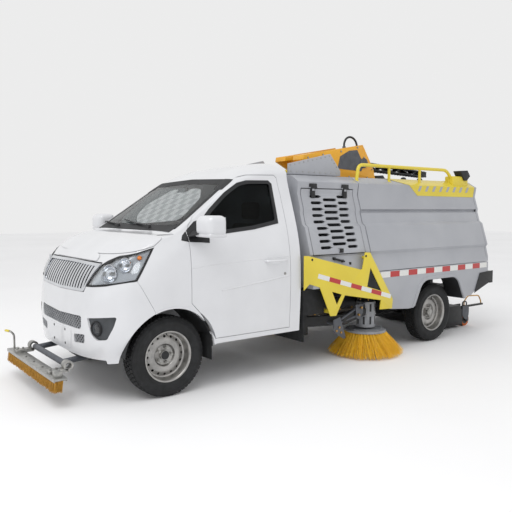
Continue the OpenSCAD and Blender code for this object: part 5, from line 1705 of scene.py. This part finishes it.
def buildSideBroom(s, side):
    tag = sideNames[side]
    spin, swing, mark = "side_brush_" + tag, "brush_arm_" + tag, tag.title()
    x, y, z = frontX + s["axis"][0], side * s["axis"][1], s["discZ"]
    low, high, radius = s["shaft"]
    parts = [turned("disc", [(r, z + h) for r, h in s["disc"]], (x, y, 0), (0, 0, 1), 96),
             bar("shaft", (x, y, z + low), (x, y, z + high), radius, 40)]
    low, high, radius = s["stud"]
    parts += ringBolts("stud", x, y, (z + low, z + high), s["studs"], s["studRing"], radius)
    gathered(parts, "broomDisc" + mark, spin, midGreyPowder, [spin])
    finished(sideTufts(s, x, y, z), "broomBristles" + mark, spin, brushYellow, angle=0)
    dressed(swing, "broomArm" + mark, swing, blackPowder)
    sleeve = [turned(name, s[name], (x, y, 0), (0, 0, 1), steps) for name,
              steps in (("sleeve", 64), ("motor", 40))]
    gathered(sleeve, "motorSleeve" + mark, swing, midGreyPowder)
    gathered(motorSlots(s, x, y), "motorSlots" + mark, swing, blackPlastic)
    links = [softEdges(sidePlate("plate", fromAxle(outline), *across(side, *ys)), .0015)
             for outline, ys in s["plates"]]
    for (x0, y0, z0), (x1, y1, z1), radius, sides in s["links"]:
        links.append(bar("link", at(x0, side * y0, z0), at(x1, side * y1, z1), radius, sides, .002))
    gathered(links, "armLinks" + mark, swing, greyPowder)
    bolts = []
    a, b = (Vector(p) for p in s["armLine"])
    for t in s["armBolts"]:
        p, rise = a.lerp(b, t), .055 * t
        bolts.append(bar("bolt", at(p.x, side * p.y, .400 + rise), at(p.x, side * p.y, .418 + rise), .011, 6,
                         .001))
    for px, pz in s["plateBolts"]:
        bolts.append(boltAcross("bolt", px, pz, side, s["plateBoltY"], .0115, 6, .0015))
    bolts += ringBolts("bolt", x, y, s["flangeBoltZ"], s["flangeBolts"], s["flangeRing"], .0075)
    gathered(bolts, "armBolts" + mark, swing, brassBolt)


frontBroom = {
    "x": -.735, "width": 1.170,
    "channel": ((-.045, .040), (.205, .222)),
    "edges": ((-.0475, -.0425), (.0375, .0425)), "edgeZ": (.198, .222),
    "bracketY": (-.400, .400), "bracket": ((-.030, .110), (-.030, .030), (.215, .245)),
    "bushAt": (.110, .262), "bush": [(.0222, -.030), (.036, -.030), (.036, .030), (.0222, .030)],
    "bracketBolts": (-.012, .030), "bracketBoltZ": (.244, .256),
    "channelBolts": (-.2, 0, .2), "channelBoltZ": (.221, .229),
    "post": ((-.030, .020), (.030, .090), (.221, .262)), "gripIn": .060,
    "lever": [(-.005, 0, .220), (-.005, 0, .340), (-.030, 0, .372),
              (-.055, .070, .372)], "leverRadius": .0085,
    "grip": [(-.036, .015, .372), (-.0535, .068, .372)], "gripRadius": .0105,
    "tuft": (8, .0021, .0014, .013), "rows": 5, "perRow": 84, "endGap": .010,
    "rootX": (-.034, .048), "tipX": (-.044, .044), "rootZ": .206, "tipZ": (.121, .128),
}


def frontTufts(s, x, half):
    tuft = strandTuft(*s["tuft"])
    copies = []
    for row in range(s["rows"]):
        u = row / (s["rows"] - 1)
        for k in range(s["perRow"]):
            y = (-half + s["endGap"]
                 + 2 * (half - s["endGap"]) * (k + .5 * (row % 2)) / (s["perRow"] - .5))
            (rootX, rootSpan), (tipX, tipSpan) = s["rootX"], s["tipX"]
            start = (x + rootX + rootSpan * u, y + random.uniform(-.002, .002), s["rootZ"])
            endX = x + tipX + tipSpan * u + random.uniform(-.003, .003)
            endY = min(max(y + random.uniform(-.006, .006), -half + .002), half - .002)
            end = (endX, endY, random.uniform(*s["tipZ"]))
            copies.append(duplicate(tuft, "tuft", aimed(start, end, random.uniform(0, 6))))
    bpy.data.objects.remove(tuft)
    return copies


def buildFrontBroom(s):
    fromArms = fromNode("front_broom_arms", "broomArms", .002, flat=False)
    finished(fromArms, "frontBroomArms", "root", greyPowder, ["front_broom_arms"])
    x, half = frontX + s["x"], s["width"] / 2

    def crossPlate(name, xs, zs):
        outline = [(-half, zs[0]), (half, zs[0]), (half, zs[1]), (-half, zs[1])]
        return frontPlate(name, outline, x + xs[0], x + xs[1])

    def upright(dx, y, zs, radius):
        return bar("bolt", (x + dx, y, zs[0]), (x + dx, y, zs[1]), radius, 6, .001)

    def near(name, spans, y, edge, segments=2):
        xs, ys, zs = spans
        return box(name, (x + xs[0], y + ys[0], zs[0]), (x + xs[1], y + ys[1], zs[1]), edge, segments)

    parts = [softEdges(crossPlate("channel", *s["channel"]), .003)]
    parts += [crossPlate("edge", xs, s["edgeZ"]) for xs in s["edges"]]
    for y in s["bracketY"]:
        parts.append(near("bracket", s["bracket"], y, .004, 3))
        bushX, bushZ = s["bushAt"]
        parts.append(turned("bush", s["bush"], (x + bushX, y, bushZ), (0, 1, 0), 40))
        parts += [upright(dx, y, s["bracketBoltZ"], .009) for dx in s["bracketBolts"]]
    parts += [upright(-.005, y, s["channelBoltZ"], .008) for y in s["channelBolts"]]
    parts.append(near("post", s["post"], -half, .003))
    grip = half - s["gripIn"]
    line = rounded([Vector((x + dx, grip + dy, z)) for dx, dy, z in s["lever"]], .025)
    parts.append(tube("lever", line, s["leverRadius"], 16))
    gathered(parts, "frontBroomBack", "front_broom", zincPlate, ["front_broom"])
    ends = [Vector((x + dx, grip + dy, z)) for dx, dy, z in s["grip"]]
    finished(bar("grip", *ends, s["gripRadius"], 20, .003), "broomHandleGrip", "front_broom", yellowEnamel)
    gathered(frontTufts(s, x, half), "frontBroomBristles", "front_broom", brushOchre,
             angle=0)


mouth = {
    "flaps": [((4.0205, 4.0265), (-.520, .520), (.012, .150)),
              ((3.6935, 3.6995), (-.520, .520), (.014, .130))],
    "casterAt": (4.120, .455, .075), "cover": ((4.020, 4.148), (-.060, .060), (.2125, .2185)),
    "cheek": [(4.020, .135), (4.020, .246), (4.112, .246), (4.146, .215), (4.146, .165), (4.130, .088),
              (4.096, .076), (4.060, .098)],
    "cheekY": (.5175, .5225), "nutY": (.517, .526), "axleHalf": .062,
    "handle": [(4.140, .222), (4.148, .285), (4.215, .344), (4.440, .332), (4.490, .262), (4.496, .228)],
    "collarAt": (4.142, .236), "collar": [(.0005, -.008), (.015, -.008), (.015, .008), (.0005, .008)],
    "tread": [(.052, -.035), (.072, -.035), (.0748, -.030), (.0748, .030), (.072, .035), (.052, .035)],
    "hub": [(.0103, -.036), (.018, -.036), (.018, -.030), (.046, -.027), (.0525, -.034), (.0525, .034),
            (.046, .027), (.018, .030), (.018, .036), (.0103, .036)],
}


def buildMouth(s):
    dressed("rear_nozzle", "suctionMouth", "nozzle", blackPowder)
    casterX, casterY, casterZ = s["casterAt"]
    flaps = [blockAt("flap", *spans) for spans in s["flaps"]]
    covers, handles = [], []
    for side in (left, right):
        y = side * casterY
        xs, ys, zs = s["cover"]
        covers.append(blockAt("cover", xs, [y + v for v in ys], zs))
        covers.append(sidePlate("cheek", fromAxle(s["cheek"]), *across(side, *s["cheekY"])))
        covers.append(bar("axle", at(casterX, y - s["axleHalf"], casterZ),
                          at(casterX, y + s["axleHalf"], casterZ),
                          .0098, 24, .001))
        covers.append(boltAcross("nut", casterX, casterZ, side, s["nutY"], .016))
        handles.append(tube("handle", rounded([at(x, y, z) for x, z in s["handle"]], .030), .0075, 16))
        collarX, collarZ = s["collarAt"]
        handles.append(turned("collar", s["collar"], at(collarX, y, collarZ), (0, 0, 1), 20))
    gathered(flaps, "mouthFlaps", "nozzle", rubber)
    gathered(covers, "casterCovers", "nozzle", greyPowder)
    gathered(handles, "liftHandles", "nozzle", brassBolt)
    for side, tag in sideNames.items():
        centre, caster = at(casterX, side * casterY, casterZ), "caster_" + tag
        tread = turned("tread", s["tread"], centre, (0, 1, 0), 64)
        finished(tread, "casterTread" + tag.title(), caster, urethane, [caster])
        hub = turned("hub", s["hub"], centre, (0, 1, 0), 48)
        finished(hub, "casterHub" + tag.title(), caster, castIron)


for side in (left, right):
    buildSideBroom(sideBroom, side)
buildFrontBroom(frontBroom)
buildMouth(mouth)
print("brooms ready")

# chassis
chassis = {
    "powder": ["chassis_frame", "front_suspension", "rear_axle", "tow_eye"],
    "iron": ["engine", "knuckle_left", "knuckle_right"],
}


def buildChassis(s):
    for node in s["powder"]:
        dressed(node, node + "Painted", "root", blackPowder)
    for node in s["iron"]:
        ride = node if node.startswith("knuckle") else "root"
        dressed(node, node + "Cast", ride, castIron, .004)
    dressed("exhaust", "exhaustPipe", "root", dullSteel, .002, flat=False)


buildChassis(chassis)
print("chassis ready")
